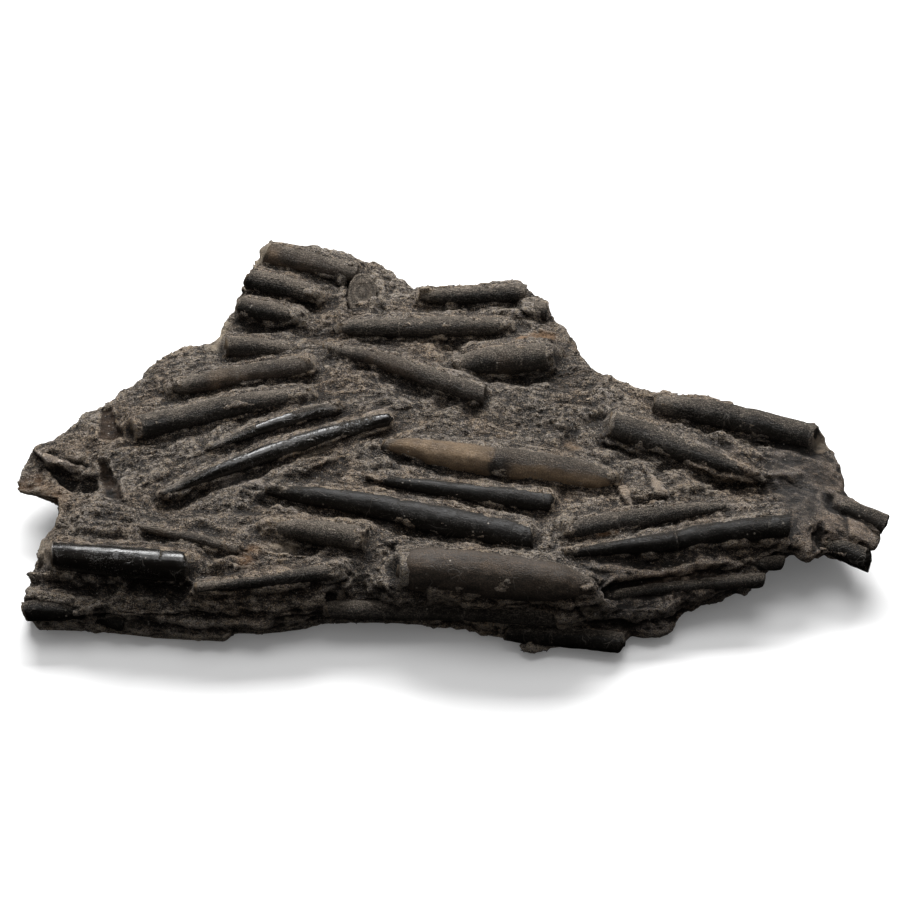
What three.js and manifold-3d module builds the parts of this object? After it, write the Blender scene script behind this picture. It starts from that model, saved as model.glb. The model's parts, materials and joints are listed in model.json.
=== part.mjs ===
// A loose slab of dark marl crowded with belemnite guards, lying on its flat underside.
// Millimetres, +Z up, +X along the slab; the origin is under the middle of the slab's box.
import * as THREE from "three";
import { mergeVertices } from "three/addons/utils/BufferGeometryUtils.js";
import Module from "manifold-3d";

const wasm = await Module();
wasm.setup();

// Driving dimensions.
const clearance = 0.3;
const reliefStepAlong = 9.5;
const reliefStepAcross = 6.5;
const thickSides = 10;
const thinSides = 8;
const thinRadius = 5;
const ringSpacing = 15;
const surfaceHeight = 31.5;
const surfaceRise = 0.025;
const endDrop = 7;
const endDropStart = 140;
const endDropRun = 45;
const standProud = 0.25;
const scoopDepth = 4;
const scoopReach = 4;
const ridgeHeight = 1.8;
const ridgeAway = 8;
const rimWear = 2.2;
const rimWearReach = 7;
const roughness = 2;
const wallRoughness = 1.1;

// Plan outlines of the slab's three courses, as [x, y].
const rimBack = [
  [-186, -34], [-185, -24], [-182, -10], [-173, -3], [-163, 5], [-152, 12], [-146, 18], [-140, 23],
  [-133, 35], [-123, 44], [-115, 48], [-107, 49], [-104, 58], [-100, 67], [-97, 72], [-95, 84],
  [-92, 97], [-85, 111], [-58, 106], [-45, 104], [-33, 99], [-27, 89], [-15, 82], [14, 82],
  [30, 86], [37, 80], [41, 71], [44, 63], [51, 53], [57, 38], [65, 31], [74, 24],
  [90, 18], [100, 17], [113, 11], [126, 7], [140, 2], [156, -3], [163, -14], [166, -27],
  [166, -38], [170, -45], [181, -54], [179, -62], [174, -70],
];
const rimFront = [
  [165, -72], [156, -70], [147, -75], [140, -70], [129, -75], [112, -80], [87, -84], [67, -89],
  [58, -98], [45, -102], [21, -103], [-4, -101], [-28, -98], [-39, -89], [-50, -91], [-78, -96],
  [-103, -97], [-110, -90], [-141, -88], [-166, -84], [-174, -78], [-171, -70], [-168, -60],
  [-166, -50], [-168, -39], [-180, -35],
];
const middleBack = [
  [-168, -32], [-166, -14], [-160, 0], [-148, 6], [-137, 18], [-129, 31], [-113, 42], [-101, 45],
  [-94, 62], [-87, 95], [-80, 107], [-45, 98], [-28, 88], [-17, 79], [12, 79], [31, 82],
  [40, 68], [47, 51], [54, 35], [72, 20], [99, 12], [126, 4], [153, -4], [163, -28], [168, -46], [175, -57],
];
const middleFront = [
  [166, -66], [156, -62], [149, -64], [143, -61], [136, -64], [128, -75], [123, -83], [109, -88],
  [99, -92], [87, -98], [63, -102], [45, -104], [28, -102], [-4, -100], [-29, -99], [-52, -99],
  [-60, -102], [-78, -103], [-103, -103], [-137, -101], [-157, -101], [-173, -100], [-179, -92],
  [-178, -84], [-175, -72], [-172, -58], [-168, -48],
];
const lowerBack = [
  [-168, -26], [-163, -10], [-150, 1], [-134, 14], [-125, 28], [-98, 40], [-90, 60], [-82, 92],
  [-74, 100], [-46, 93], [-20, 75], [28, 76], [42, 48], [51, 30], [70, 14], [124, -2], [147, -10],
  [155, -30], [152, -50],
];
const lowerFront = [
  [134, -58], [124, -70], [114, -78], [98, -88], [89, -102], [73, -101], [70, -107], [50, -108],
  [31, -109], [22, -102], [10, -97], [-23, -95], [-54, -95], [-65, -98], [-80, -101], [-91, -100],
  [-95, -105], [-123, -103], [-173, -97], [-180, -90], [-180, -77], [-177, -62], [-171, -46],
];
// Each course's wall, from the bottom up, as [height, inset from the outline].
const upperWall = [[17, 3], [22, 0], [48, 1]];
const middleWall = [[7, 2.5], [12, 0], [17, 0.5], [21, 6]];
const lowerWall = [[0, 4], [4, 0.5], [8, 0], [11, 5]];

// Ridges (positive height) and hollows (negative) of the bedding surface.
const reliefStrokes = [
  { from: [-79, -42], to: [-50, -16], width: 6, height: 3 },
  { from: [-50, -16], to: [-34, -10], width: 6, height: 2.5 },
  { from: [-38, -78], to: [-30, -94], width: 10, height: 4 },
  { from: [-42, -88], to: [-40, -92], width: 6, height: -6 },
  { from: [-149, 9], to: [-146, -6], width: 7, height: -6 },
  { from: [-176, -14], to: [-157, -22], width: 9, height: 3 },
  { from: [-166, -30], to: [-152, -34], width: 8, height: -6 },
  { from: [-153, -16], to: [-146, -36], width: 6, height: -4 },
  { from: [110, -38], to: [138, -44], width: 8, height: -4 },
  { from: [108, -28], to: [140, -34], width: 7, height: 2.5 },
  { from: [62, 0], to: [60, -12], width: 8, height: -5 },
  { from: [-2, 43], to: [8, 37], width: 7, height: -5 },
  { from: [48, -62], to: [56, -58], width: 9, height: 3.5 },
  { from: [72, -50], to: [82, -42], width: 8, height: 2.5 },
  { from: [88, -46], to: [96, -38], width: 8, height: 2.5 },
  { from: [30, 10], to: [70, 0], width: 16, height: 2 },
  { from: [-20, 0], to: [20, -6], width: 14, height: -2.5 },
  { from: [-140, -50], to: [-100, -52], width: 14, height: -2.5 },
  { from: [150, -20], to: [160, -50], width: 14, height: 2.5 },
  { from: [-90, 74], to: [-50, 68], width: 5, height: -3 },
  { from: [-96, 56], to: [-50, 50], width: 8, height: -3 },
  { from: [30, 66], to: [40, 50], width: 9, height: 3 },
];

const charcoal = 0x33302d;
const slate = 0x3f3d3a;
const umber = 0x57483a;
const russet = 0x4a3c30;

// The guards: points along the axis as [x, y, radius], how each end finishes, and the height of
// the axis where the guard lies on a ledge instead of the bedding surface.
const guards = [
  {
    name: "guard_back_left_1",
    path: [[-85, 101, 5.7], [-68, 96, 5.6], [-47, 90, 4.9]],
    ends: ["broken", "round"],
    color: umber,
  },
  {
    name: "guard_back_left_2",
    path: [[-90, 84, 5.1], [-77, 80, 5.4], [-65, 76, 4.6]],
    ends: ["broken", "round"],
    color: slate,
  },
  {
    name: "guard_back_left_3",
    path: [[-95, 67, 4.8], [-84, 64, 4.8], [-72, 62, 4.1]],
    ends: ["broken", "round"],
    color: slate,
  },
  {
    name: "guard_back_left_4",
    path: [[-102, 42, 4.8], [-90, 41, 4.8], [-78, 41, 4.1]],
    ends: ["broken", "round"],
    color: russet,
  },
  {
    name: "guard_back_middle",
    path: [[-14, 75, 3.4], [4, 74, 4], [29, 76, 4.3]],
    ends: ["round", "broken"],
    color: charcoal,
  },
  {
    name: "guard_back_corner",
    path: [[32, 67, 3.9], [41, 64, 4.2]],
    ends: ["round", "broken"],
    color: charcoal,
  },
  {
    name: "guard_level",
    path: [[-50, 54, 3.8], [-31, 54, 4.8], [-4, 54, 4.8], [22, 55, 4.3]],
    ends: ["round", "round"],
    color: charcoal,
  },
  {
    name: "guard_short",
    path: [[2, 30, 4.7], [14, 32, 6.4], [31, 34, 7.1], [43, 35, 6.7]],
    ends: ["round", "broken"],
    color: slate,
  },
  {
    name: "guard_curved",
    path: [[-53, 41, 2.9], [-31, 33, 4], [-13, 24, 4.7], [0, 17, 4.9], [13, 12, 4.7]],
    ends: ["tip", "broken"],
    color: umber,
  },
  {
    name: "guard_long_upper",
    path: [[-121, 17, 4.3], [-92, 24, 4.7], [-63, 31, 5]],
    ends: ["round", "broken"],
    color: umber,
  },
  {
    name: "guard_blunt",
    path: [[-138, -9, 6.1], [-121, -4, 5.6], [-95, 5, 5.2], [-65, 12, 4.2]],
    ends: ["broken", "round"],
    color: charcoal,
  },
  {
    name: "guard_thin",
    path: [[-105, -19, 1.4], [-86, -9, 3], [-65, 0, 3.5], [-50, 5, 3.3]],
    ends: ["tip", "round"],
    color: charcoal,
  },
  {
    name: "guard_polished",
    path: [
      [-123, -45, 1.4], [-106, -36, 3.2], [-86, -26, 3.9], [-64, -16, 4.2], [-39, -6, 3.7],
      [-27, -2, 2.8]
    ],
    ends: ["tip", "broken"],
    color: charcoal,
  },
  {
    name: "guard_brown",
    path: [
      [-29, -17, 2.3], [-17, -20, 5.1], [-4, -24, 6.5], [17, -29, 7.4], [42, -33, 7.1],
      [59, -37, 6], [69, -38, 2.7]
    ],
    ends: ["round", "round"],
    color: umber,
  },
  {
    name: "guard_dark",
    path: [[-37, -36, 1.4], [-21, -40, 3], [-4, -44, 3.9], [21, -48, 4.6], [42, -52, 4.3]],
    ends: ["tip", "broken"],
    color: charcoal,
  },
  {
    name: "guard_black",
    path: [
      [-79, -43, 1.6], [-63, -47, 4.3], [-42, -51, 5], [-22, -57, 5.9], [0, -64, 6.8],
      [23, -70, 6.5], [32, -72, 5.4]
    ],
    ends: ["tip", "broken"],
    color: charcoal,
  },
  {
    name: "guard_stout",
    path: [[-22, -90, 8.5], [-4, -90, 9.6], [21, -94, 10], [41, -96, 8.5], [55, -98, 4.4]],
    ends: ["broken", "round"],
    color: russet,
  },
  {
    name: "guard_coated",
    path: [[-76, -65, 3.6], [-58, -68, 5.2], [-37, -73, 5.9]],
    ends: ["round", "broken"],
    color: russet,
  },
  {
    name: "guard_front_middle",
    path: [[-106, -98, 1.8], [-82, -95, 2.7], [-64, -92, 3.1], [-45, -89, 3.8]],
    ends: ["tip", "broken"],
    color: charcoal,
  },
  {
    name: "guard_front_left",
    path: [[-166, -78, 6.3], [-138, -85, 6.7], [-110, -88, 6.7]],
    ends: ["broken", "broken"],
    color: charcoal,
  },
  {
    name: "guard_slender",
    path: [[-131, -64, 1.4], [-112, -70, 2.5], [-90, -77, 2.5]],
    ends: ["tip", "round"],
    color: russet,
  },
  {
    name: "guard_tapering",
    path: [[47, -67, 4.5], [63, -64, 5], [84, -59, 4.5], [105, -55, 3.2], [117, -52, 1.1]],
    ends: ["round", "tip"],
    color: slate,
  },
  {
    name: "guard_lower_long",
    path: [[46, -79, 1.8], [71, -76, 3.6], [89, -73, 4.3], [112, -68, 5], [138, -65, 5.5]],
    ends: ["tip", "broken"],
    color: charcoal,
  },
  {
    name: "guard_back_right",
    path: [[90, 6, 5.4], [116, -1, 6.2], [137, -8, 6], [154, -13, 5.8]],
    ends: ["round", "broken"],
    color: charcoal,
  },
  {
    name: "guard_hollow",
    path: [[68, -6, 6.5], [85, -15, 6.5], [103, -24, 5.5], [124, -33, 2.8]],
    ends: ["broken", "tip"],
    color: slate,
  },
  {
    name: "guard_front_arch",
    path: [[-52, -97, 3.9], [-29, -97, 4.4], [-4, -97, 4.4], [21, -99, 4.1], [40, -102, 3.7]],
    ends: ["broken", "round"],
    height: 15,
    color: charcoal,
  },
  {
    name: "guard_foot",
    path: [[23, -103, 3.6], [45, -105, 4.4], [70, -108, 4.4]],
    ends: ["round", "broken"],
    height: 7,
    color: charcoal,
  },
  {
    name: "guard_ledge_left",
    path: [[-178, -97, 4.4], [-166, -97, 4.5], [-155, -97, 3.9]],
    ends: ["broken", "round"],
    height: 14.5,
    color: charcoal,
  },
  {
    name: "guard_ledge_low",
    path: [[-150, -94, 3.6], [-137, -99, 4.2]],
    ends: ["round", "broken"],
    height: 9.5,
    color: charcoal,
  },
  {
    name: "guard_slope_right",
    path: [[60, -94, 2], [79, -90, 2.6], [100, -87, 2.6], [128, -84, 3.2]],
    ends: ["tip", "broken"],
    height: 19,
    color: charcoal,
  },
  {
    name: "guard_ledge_right",
    path: [[121, -76, 2.9], [137, -75, 3.2]],
    ends: ["round", "broken"],
    height: 20,
    color: slate,
  },
  {
    name: "guard_tail_upper",
    path: [[162, -45, 4], [181, -57, 4.5]],
    ends: ["round", "broken"],
    height: 24,
    color: russet,
  },
  {
    name: "guard_tail_lower",
    path: [[157, -63, 4.5], [173, -73, 4.9]],
    ends: ["round", "broken"],
    height: 19,
    color: slate,
  },
];

function smooth(t) {
  const c = Math.min(1, Math.max(0, t));
  return c * c * (3 - 2 * c);
}

function scatter(i, j, k) {
  const s = Math.sin(i * 127.1 + j * 311.7 + k * 74.7) * 43758.5453;
  return 2 * (s - Math.floor(s)) - 1;
}

// Smooth noise between -1 and 1 with features about `size` across.
function noise(x, y, size, seed) {
  const u = x / size;
  const v = y / size;
  const i = Math.floor(u);
  const j = Math.floor(v);
  const a = smooth(u - i);
  const b = smooth(v - j);
  const low = scatter(i, j, seed) * (1 - a) + scatter(i + 1, j, seed) * a;
  const high = scatter(i, j + 1, seed) * (1 - a) + scatter(i + 1, j + 1, seed) * a;
  return low * (1 - b) + high * b;
}

// Distance from a point to a segment, and the side it lies on (negative is toward the front).
function toSegment(x, y, a, b) {
  const dx = b[0] - a[0];
  const dy = b[1] - a[1];
  const t = Math.min(1, Math.max(0, ((x - a[0]) * dx + (y - a[1]) * dy) / (dx * dx + dy * dy)));
  const px = a[0] + t * dx;
  const py = a[1] + t * dy;
  return { distance: Math.hypot(x - px, y - py), side: Math.sign(y - py), t };
}

function bedding(x, y) {
  const end = smooth((Math.abs(x) - endDropStart) / endDropRun);
  return surfaceHeight + surfaceRise * y - endDrop * end;
}

function relief(x, y, rim) {
  let z = bedding(x, y) + roughness * (noise(x, y, 17, 1) + 0.7 * noise(x, y, 9, 2));
  for (const { from, to, width, height } of reliefStrokes) {
    const d = toSegment(x, y, from, to).distance / width;
    z += d < 1 ? height * (1 - d * d) ** 2 : 0;
  }
  for (const { path, height } of guards) {
    for (let i = 0; !height && i < path.length - 1; i++) {
      const near = toSegment(x, y, path[i], path[i + 1]);
      const radius = path[i][2] * (1 - near.t) + path[i + 1][2] * near.t;
      const away = near.distance - radius;
      const front = near.side < 0 ? 1 : 0.3;
      const inside = near.t > 0 && near.t < 1 ? 1 : 0;
      z -= inside * front * scoopDepth * Math.exp(-(((away - 1) / scoopReach) ** 2));
      z += inside * ridgeHeight * Math.exp(-(((away - ridgeAway) / 3) ** 2));
    }
  }
  let edge = Infinity;
  for (let i = 0; i < rim.length; i++) {
    edge = Math.min(edge, toSegment(x, y, rim[i], rim[(i + 1) % rim.length]).distance);
  }
  return z - rimWear * (1 - smooth(edge / rimWearReach));
}

function toManifold(geometry) {
  geometry.deleteAttribute("normal");
  geometry.deleteAttribute("uv");
  const merged = mergeVertices(geometry, 1e-4);
  const vertProperties = new Float32Array(merged.attributes.position.array);
  const triVerts = new Uint32Array(merged.index.array);
  return new wasm.Manifold(new wasm.Mesh({ numProp: 3, vertProperties, triVerts }));
}

function toGeometry(solid) {
  const { vertProperties, triVerts } = solid.getMesh();
  const geometry = new THREE.BufferGeometry();
  geometry.setAttribute("position", new THREE.BufferAttribute(vertProperties, 3));
  geometry.setIndex(new THREE.BufferAttribute(triVerts, 1));
  geometry.computeVertexNormals();
  return geometry;
}

function largestBody(solid) {
  const bodies = solid.decompose();
  return bodies.reduce((best, body) => (body.volume() > best.volume() ? body : best));
}

// A closed solid through rings of equal length, its two end rings filled by the given triangles.
function loftSolid(rings, startFaces, endFaces) {
  const count = rings[0].length;
  const last = (rings.length - 1) * count;
  const index = [];
  for (let r = 0; r < rings.length - 1; r++) {
    for (let i = 0; i < count; i++) {
      const a = r * count + i;
      const b = r * count + ((i + 1) % count);
      index.push(a, b, b + count, a, b + count, a + count);
    }
  }
  startFaces.forEach(([a, b, c]) => index.push(a, c, b));
  endFaces.forEach(([a, b, c]) => index.push(last + a, last + b, last + c));
  const geometry = new THREE.BufferGeometry();
  geometry.setAttribute("position", new THREE.Float32BufferAttribute(rings.flat(2), 3));
  geometry.setIndex(index);
  return toManifold(geometry);
}

// One course of the slab: its outline lofted up the wall, each ring set in and roughened.
function courseSolid(outline, wall, seed) {
  const contour = outline.map(([x, y]) => new THREE.Vector2(x, y));
  if (THREE.ShapeUtils.isClockWise(contour)) {
    contour.reverse();
  }
  const count = contour.length;
  const rings = wall.map(([z, inset], level) => contour.map((point, i) => {
    const before = contour[(i + count - 1) % count];
    const after = contour[(i + 1) % count];
    const along = after.clone().sub(before).normalize();
    const move = inset + wallRoughness * scatter(i, level, seed);
    return [point.x - along.y * move, point.y + along.x * move, z];
  }));
  const fill = (ring) => THREE.ShapeUtils.triangulateShape(
    ring.map(([x, y]) => new THREE.Vector2(x, y)), []);
  return loftSolid(rings, fill(rings[0]), fill(rings[rings.length - 1]));
}

// Everything under the bedding surface, as a block wider than the slab.
function reliefSolid(rim) {
  const xs = [];
  const ys = [];
  for (let x = -192; x <= 192; x += reliefStepAlong) {
    xs.push(x);
  }
  for (let y = -112; y <= 118; y += reliefStepAcross) {
    ys.push(y);
  }
  const across = xs.length;
  const rows = [];
  ys.forEach((y) => {
    xs.forEach((x) => rows.push(x, y, relief(x, y, rim)));
  });
  ys.forEach((y) => {
    xs.forEach((x) => rows.push(x, y, -5));
  });
  const under = across * ys.length;
  const index = [];
  const quad = (a, b, c, d) => index.push(a, b, c, a, c, d);
  for (let j = 0; j < ys.length - 1; j++) {
    for (let i = 0; i < across - 1; i++) {
      const a = j * across + i;
      quad(a, a + 1, a + across + 1, a + across);
      quad(under + a, under + a + across, under + a + across + 1, under + a + 1);
    }
  }
  for (let i = 0; i < across - 1; i++) {
    const far = (ys.length - 1) * across + i;
    quad(i + 1, i, under + i, under + i + 1);
    quad(far, far + 1, under + far + 1, under + far);
  }
  for (let j = 0; j < ys.length - 1; j++) {
    const left = j * across;
    const right = left + across - 1;
    quad(left, left + across, under + left + across, under + left);
    quad(right + across, right, under + right, under + right + across);
  }
  const geometry = new THREE.BufferGeometry();
  geometry.setAttribute("position", new THREE.Float32BufferAttribute(rows, 3));
  geometry.setIndex(index);
  return toManifold(geometry);
}

// A guard: a round spindle along its axis. Its cavity is the same spindle, coarser and set off
// from it all round by the clearance.
function guardSolid({ path, ends, height }, cavity) {
  const fullest = Math.max(...path.map(([, , radius]) => radius));
  const sides = (fullest > thinRadius ? thickSides : thinSides) - (cavity ? 2 : 0);
  const grow = cavity ? clearance : 0;
  const around = cavity ? 1 / Math.cos(Math.PI / sides) : 1;
  const points = path.map(([x, y, radius]) => new THREE.Vector3(
    x, y, height ?? bedding(x, y) + standProud * radius));
  const axis = new THREE.CatmullRomCurve3(points, false, "centripetal");
  const radii = path.map(([, , radius]) => radius);
  const count = Math.max(3, Math.round(axis.getLength() / ringSpacing) + 1);
  const stops = [];
  const endStops = {
    tip: [[0, 1]],
    round: cavity ? [[-0.35, 0.9]] : [[-0.35, 0.55], [0, 0.9]],
    broken: [[0, 1]],
  };
  endStops[ends[0]].forEach(([out, share]) => stops.push({ t: 0, out, share }));
  for (let i = 1; i < count - 1; i++) {
    stops.push({ t: i / (count - 1), out: 0, share: 1 });
  }
  [...endStops[ends[1]]].reverse().forEach(([out, share]) => stops.push({ t: 1, out: -out, share }));
  const rings = stops.map(({ t, out, share }) => {
    const s = t * (radii.length - 1);
    const k = Math.min(radii.length - 2, Math.floor(s));
    const radius = radii[k] + (radii[k + 1] - radii[k]) * (s - k);
    const heading = axis.getTangent(t);
    const beside = new THREE.Vector3(0, 0, 1).cross(heading).normalize();
    const above = heading.clone().cross(beside);
    const centre = axis.getPoint(t).addScaledVector(heading, out * radius);
    if (t === 0 || t === 1) {
      centre.addScaledVector(heading, t === 0 ? -grow : grow);
    }
    const reach = (radius * share + grow) * around;
    return Array.from({ length: sides }, (_, i) => {
      const angle = (2 * Math.PI * i) / sides;
      return centre.clone()
        .addScaledVector(beside, Math.cos(angle) * reach)
        .addScaledVector(above, Math.sin(angle) * reach)
        .toArray();
    });
  });
  const fan = Array.from({ length: sides - 2 }, (_, i) => [0, i + 1, i + 2]);
  return loftSolid(rings, fan, fan);
}

// The guard that dives into the rock: its slanting face shows as an oval, tipped to the front.
const diving = { name: "guard_on_end", face: [-41, 75, 35], wide: 7.7, long: 12, tip: 20, color: slate };

function divingSolid({ face, wide, long, tip }, cavity) {
  const sides = thickSides + (cavity ? 0 : 2);
  const grow = cavity ? clearance : 0;
  const around = cavity ? 1 / Math.cos(Math.PI / sides) : 1;
  const slope = THREE.MathUtils.degToRad(tip);
  const middle = new THREE.Vector3(...face);
  const rings = [
    { down: 16, share: 0.7 },
    { down: 5, share: 1 },
    { down: 0.8, share: 0.97 },
    { down: -grow, share: 0.85 },
  ].map(({ down, share }) => Array.from({ length: sides }, (_, i) => {
    const angle = (2 * Math.PI * i) / sides;
    const beside = Math.cos(angle) * (wide * share + grow) * around;
    const up = Math.sin(angle) * (long * share + grow) * around;
    return [
      middle.x + beside,
      middle.y + up * Math.cos(slope) + 0.7 * down,
      middle.z + up * Math.sin(slope) - down,
    ];
  }));
  const fan = Array.from({ length: sides - 2 }, (_, i) => [0, i + 1, i + 2]);
  return loftSolid(rings, fan, fan);
}

const rim = [...rimBack, ...rimFront];
let rock = courseSolid(rim, upperWall, 3)
  .add(courseSolid([...middleBack, ...middleFront], middleWall, 5))
  .add(courseSolid([...lowerBack, ...lowerFront], lowerWall, 7))
  .intersect(reliefSolid(rim));

const slab = new THREE.Group();
const placed = [];
for (const guard of [...guards, diving]) {
  const solid = guard === diving ? divingSolid : guardSolid;
  let body = solid(guard, false);
  placed.forEach((other) => {
    body = body.subtract(other);
  });
  body = largestBody(body);
  const cavity = solid(guard, true);
  placed.push(cavity);
  rock = rock.subtract(cavity);
  const material = new THREE.MeshStandardMaterial({ color: guard.color, roughness: 0.5, metalness: 0 });
  const mesh = new THREE.Mesh(toGeometry(body), material);
  mesh.name = guard.name;
  slab.add(mesh);
}

const rockMaterial = new THREE.MeshStandardMaterial({ color: 0x57514a, roughness: 0.95, metalness: 0 });
const matrix = new THREE.Mesh(toGeometry(largestBody(rock)), rockMaterial);
matrix.name = "matrix";
slab.add(matrix);

const box = new THREE.Box3().setFromObject(slab);
slab.position.set(-(box.min.x + box.max.x) / 2, -(box.min.y + box.max.y) / 2, -box.min.z);

export default slab;
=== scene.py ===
import json
import math

import bmesh
import bpy
import numpy as np
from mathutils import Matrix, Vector


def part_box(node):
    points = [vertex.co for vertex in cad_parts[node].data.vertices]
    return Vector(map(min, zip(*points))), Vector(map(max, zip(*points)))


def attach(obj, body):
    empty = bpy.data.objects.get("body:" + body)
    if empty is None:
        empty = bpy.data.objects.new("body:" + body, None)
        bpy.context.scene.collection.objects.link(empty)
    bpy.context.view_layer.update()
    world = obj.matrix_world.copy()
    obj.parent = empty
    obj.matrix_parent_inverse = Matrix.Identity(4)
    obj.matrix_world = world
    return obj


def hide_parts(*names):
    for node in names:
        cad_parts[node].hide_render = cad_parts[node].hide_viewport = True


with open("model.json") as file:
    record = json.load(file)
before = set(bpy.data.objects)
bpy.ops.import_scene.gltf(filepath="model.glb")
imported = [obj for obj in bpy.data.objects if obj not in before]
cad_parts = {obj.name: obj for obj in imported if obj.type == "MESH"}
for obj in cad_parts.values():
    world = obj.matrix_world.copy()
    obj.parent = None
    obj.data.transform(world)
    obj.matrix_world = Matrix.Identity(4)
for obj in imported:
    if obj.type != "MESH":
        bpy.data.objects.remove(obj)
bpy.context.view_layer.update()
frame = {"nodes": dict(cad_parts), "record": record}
scene = bpy.context.scene
nodes = frame["nodes"]
print("frame loaded:", len(nodes), "nodes")

# metres and degrees; the lens is in millimetres
view = {
    "target": (0.0, -0.006, 0.018),
    "distance": 1.4,
    "elevation": 45.0,
    "lens": 129.4,
}


def makeCamera(settings):
    tilt = math.radians(settings["elevation"])
    target = Vector(settings["target"])
    away = Vector((0.0, -math.cos(tilt), math.sin(tilt)))
    data = bpy.data.cameras.new("camera")
    data.lens = settings["lens"]
    data.sensor_width = 36.0
    data.clip_end = 20.0
    camera = bpy.data.objects.new("camera", data)
    camera.location = target + away * settings["distance"]
    camera.rotation_euler = (target - camera.location).to_track_quat("-Z", "Y").to_euler()
    scene.collection.objects.link(camera)
    scene.camera = camera


makeCamera(view)


class Wire:
    # one socket of a node tree, with the operators used below
    def __init__(self, tree, socket):
        self.tree = tree
        self.socket = socket

    def maths(self, operation, other=None, flip=False):
        pair = [other, self] if flip else [self, other]
        values = {index: value for index, value in enumerate(pair) if value is not None}
        return self.tree.node("ShaderNodeMath", {"operation": operation}, values)

    def __add__(self, other):
        return self.maths("ADD", other)

    __radd__ = __add__

    def __mul__(self, other):
        return self.maths("MULTIPLY", other)

    __rmul__ = __mul__

    def __sub__(self, other):
        return self.maths("SUBTRACT", other)

    def __rsub__(self, other):
        return self.maths("SUBTRACT", other, flip=True)

    def __rtruediv__(self, other):
        return self.maths("DIVIDE", other, flip=True)

    def clamp(self):
        return self.maths("MAXIMUM", 0.0).maths("MINIMUM", 1.0)

    def step(self, low, high):
        # 0 below low, 1 above high, smooth between
        return self.tree.node("ShaderNodeMapRange", {"interpolation_type": "SMOOTHSTEP"},
                              {"Value": self, "From Min": low, "From Max": high})

    def other(self, out):
        # another output of the same node
        return Wire(self.tree, self.socket.node.outputs[out])


class Tree:
    # a node tree being built; every node comes from its node method
    def __init__(self, tree):
        self.tree = tree

    def node(self, kind, settings=None, values=None, out=0):
        node = self.tree.nodes.new(kind)
        for key, value in (settings or {}).items():
            if key == "stops":
                ramp = node.color_ramp
                while len(ramp.elements) < len(value):
                    ramp.elements.new(0.5)
                for element, (place, colour) in zip(ramp.elements, value):
                    element.position = place
                    element.color = (*colour, 1.0)
            else:
                setattr(node, key, value)
        for key, value in (values or {}).items():
            slot = node.inputs[key]
            if isinstance(value, Wire):
                self.tree.links.new(value.socket, slot)
            else:
                slot.default_value = value
        return Wire(self, node.outputs[out]) if len(node.outputs) else None

    def vectors(self, operation, first, second, out=0):
        return self.node("ShaderNodeVectorMath", {"operation": operation}, {0: first, 1: second}, out=out)

    def place(self, source, scale):
        return self.vectors("MULTIPLY", source, scale)

    def scaled(self, source, share):
        return self.node("ShaderNodeVectorMath", {"operation": "SCALE"}, {0: source, "Scale": share})

    def noise(self, source, scale, detail=3.0, rough=0.55, out=0):
        return self.node("ShaderNodeTexNoise", {"noise_dimensions": "3D"},
                         {"Vector": source, "Scale": scale, "Detail": detail,
                          "Roughness": rough}, out=out)


class Finish(Tree):
    # a material under construction
    def __init__(self, name):
        self.material = bpy.data.materials.new(name)
        self.material.use_nodes = True
        super().__init__(self.material.node_tree)
        self.tree.nodes.clear()

    def attribute(self, name, out="Fac"):
        return self.node("ShaderNodeAttribute", {"attribute_name": name}, out=out)

    def cells(self, source, scale, feature="F1", out="Distance"):
        return self.node("ShaderNodeTexVoronoi", {"feature": feature},
                         {"Vector": source, "Scale": scale}, out=out)

    def ramp(self, factor, stops):
        return self.node("ShaderNodeValToRGB", {"stops": stops}, {"Fac": factor})

    def blend(self, factor, first, second, mode="MIX"):
        pair = [value if isinstance(value, Wire) else (*value, 1.0) for value in (first, second)]
        return self.node("ShaderNodeMix", {"data_type": "RGBA", "blend_type": mode},
                         {0: factor, 6: pair[0], 7: pair[1]}, out=2)

    def bump(self, height, strength, distance):
        return self.node("ShaderNodeBump", None,
                         {"Height": height, "Strength": strength, "Distance": distance})

    def surface(self, values):
        shader = self.node("ShaderNodeBsdfPrincipled", None, values)
        self.node("ShaderNodeOutputMaterial", None, {"Surface": shader})
        return self.material


class Group(Tree):
    # a Geometry Nodes tree with named inputs
    def __init__(self, name, inputs):
        super().__init__(bpy.data.node_groups.new(name, "GeometryNodeTree"))
        face = self.tree.interface
        face.new_socket("Geometry", in_out="INPUT", socket_type="NodeSocketGeometry")
        self.sockets = {}
        for label, kind in {**inputs, "Skin": "Material"}.items():
            socket = face.new_socket(label, in_out="INPUT", socket_type="NodeSocket" + kind)
            self.sockets[label] = socket.identifier
        face.new_socket("Geometry", in_out="OUTPUT", socket_type="NodeSocketGeometry")
        self.given = self.node("NodeGroupInput")

    def named(self, name, kind="FLOAT"):
        return self.node("GeometryNodeInputNamedAttribute", {"data_type": kind}, {"Name": name})

    def stored(self, geometry, name, value, domain="POINT"):
        return self.node("GeometryNodeStoreNamedAttribute", {"data_type": "FLOAT", "domain": domain},
                         {"Geometry": geometry, "Name": name, "Value": value})

    def close(self, geometry):
        geometry = self.node("GeometryNodeRealizeInstances", None, {"Geometry": geometry})
        geometry = self.node("GeometryNodeSetMaterial", None,
                             {"Geometry": geometry, "Material": self.given.other("Skin")})
        self.node("NodeGroupOutput", None, {0: geometry})
        return self

    def grown(self, mesh, name, values):
        # the plain mesh that the tree makes from this one
        piece = bpy.data.objects.new(name, mesh)
        scene.collection.objects.link(piece)
        modifier = piece.modifiers.new(name, "NODES")
        modifier.node_group = self.tree
        for label, value in values.items():
            modifier[self.sockets[label]] = value
        return evaluated(piece, name)


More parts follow.
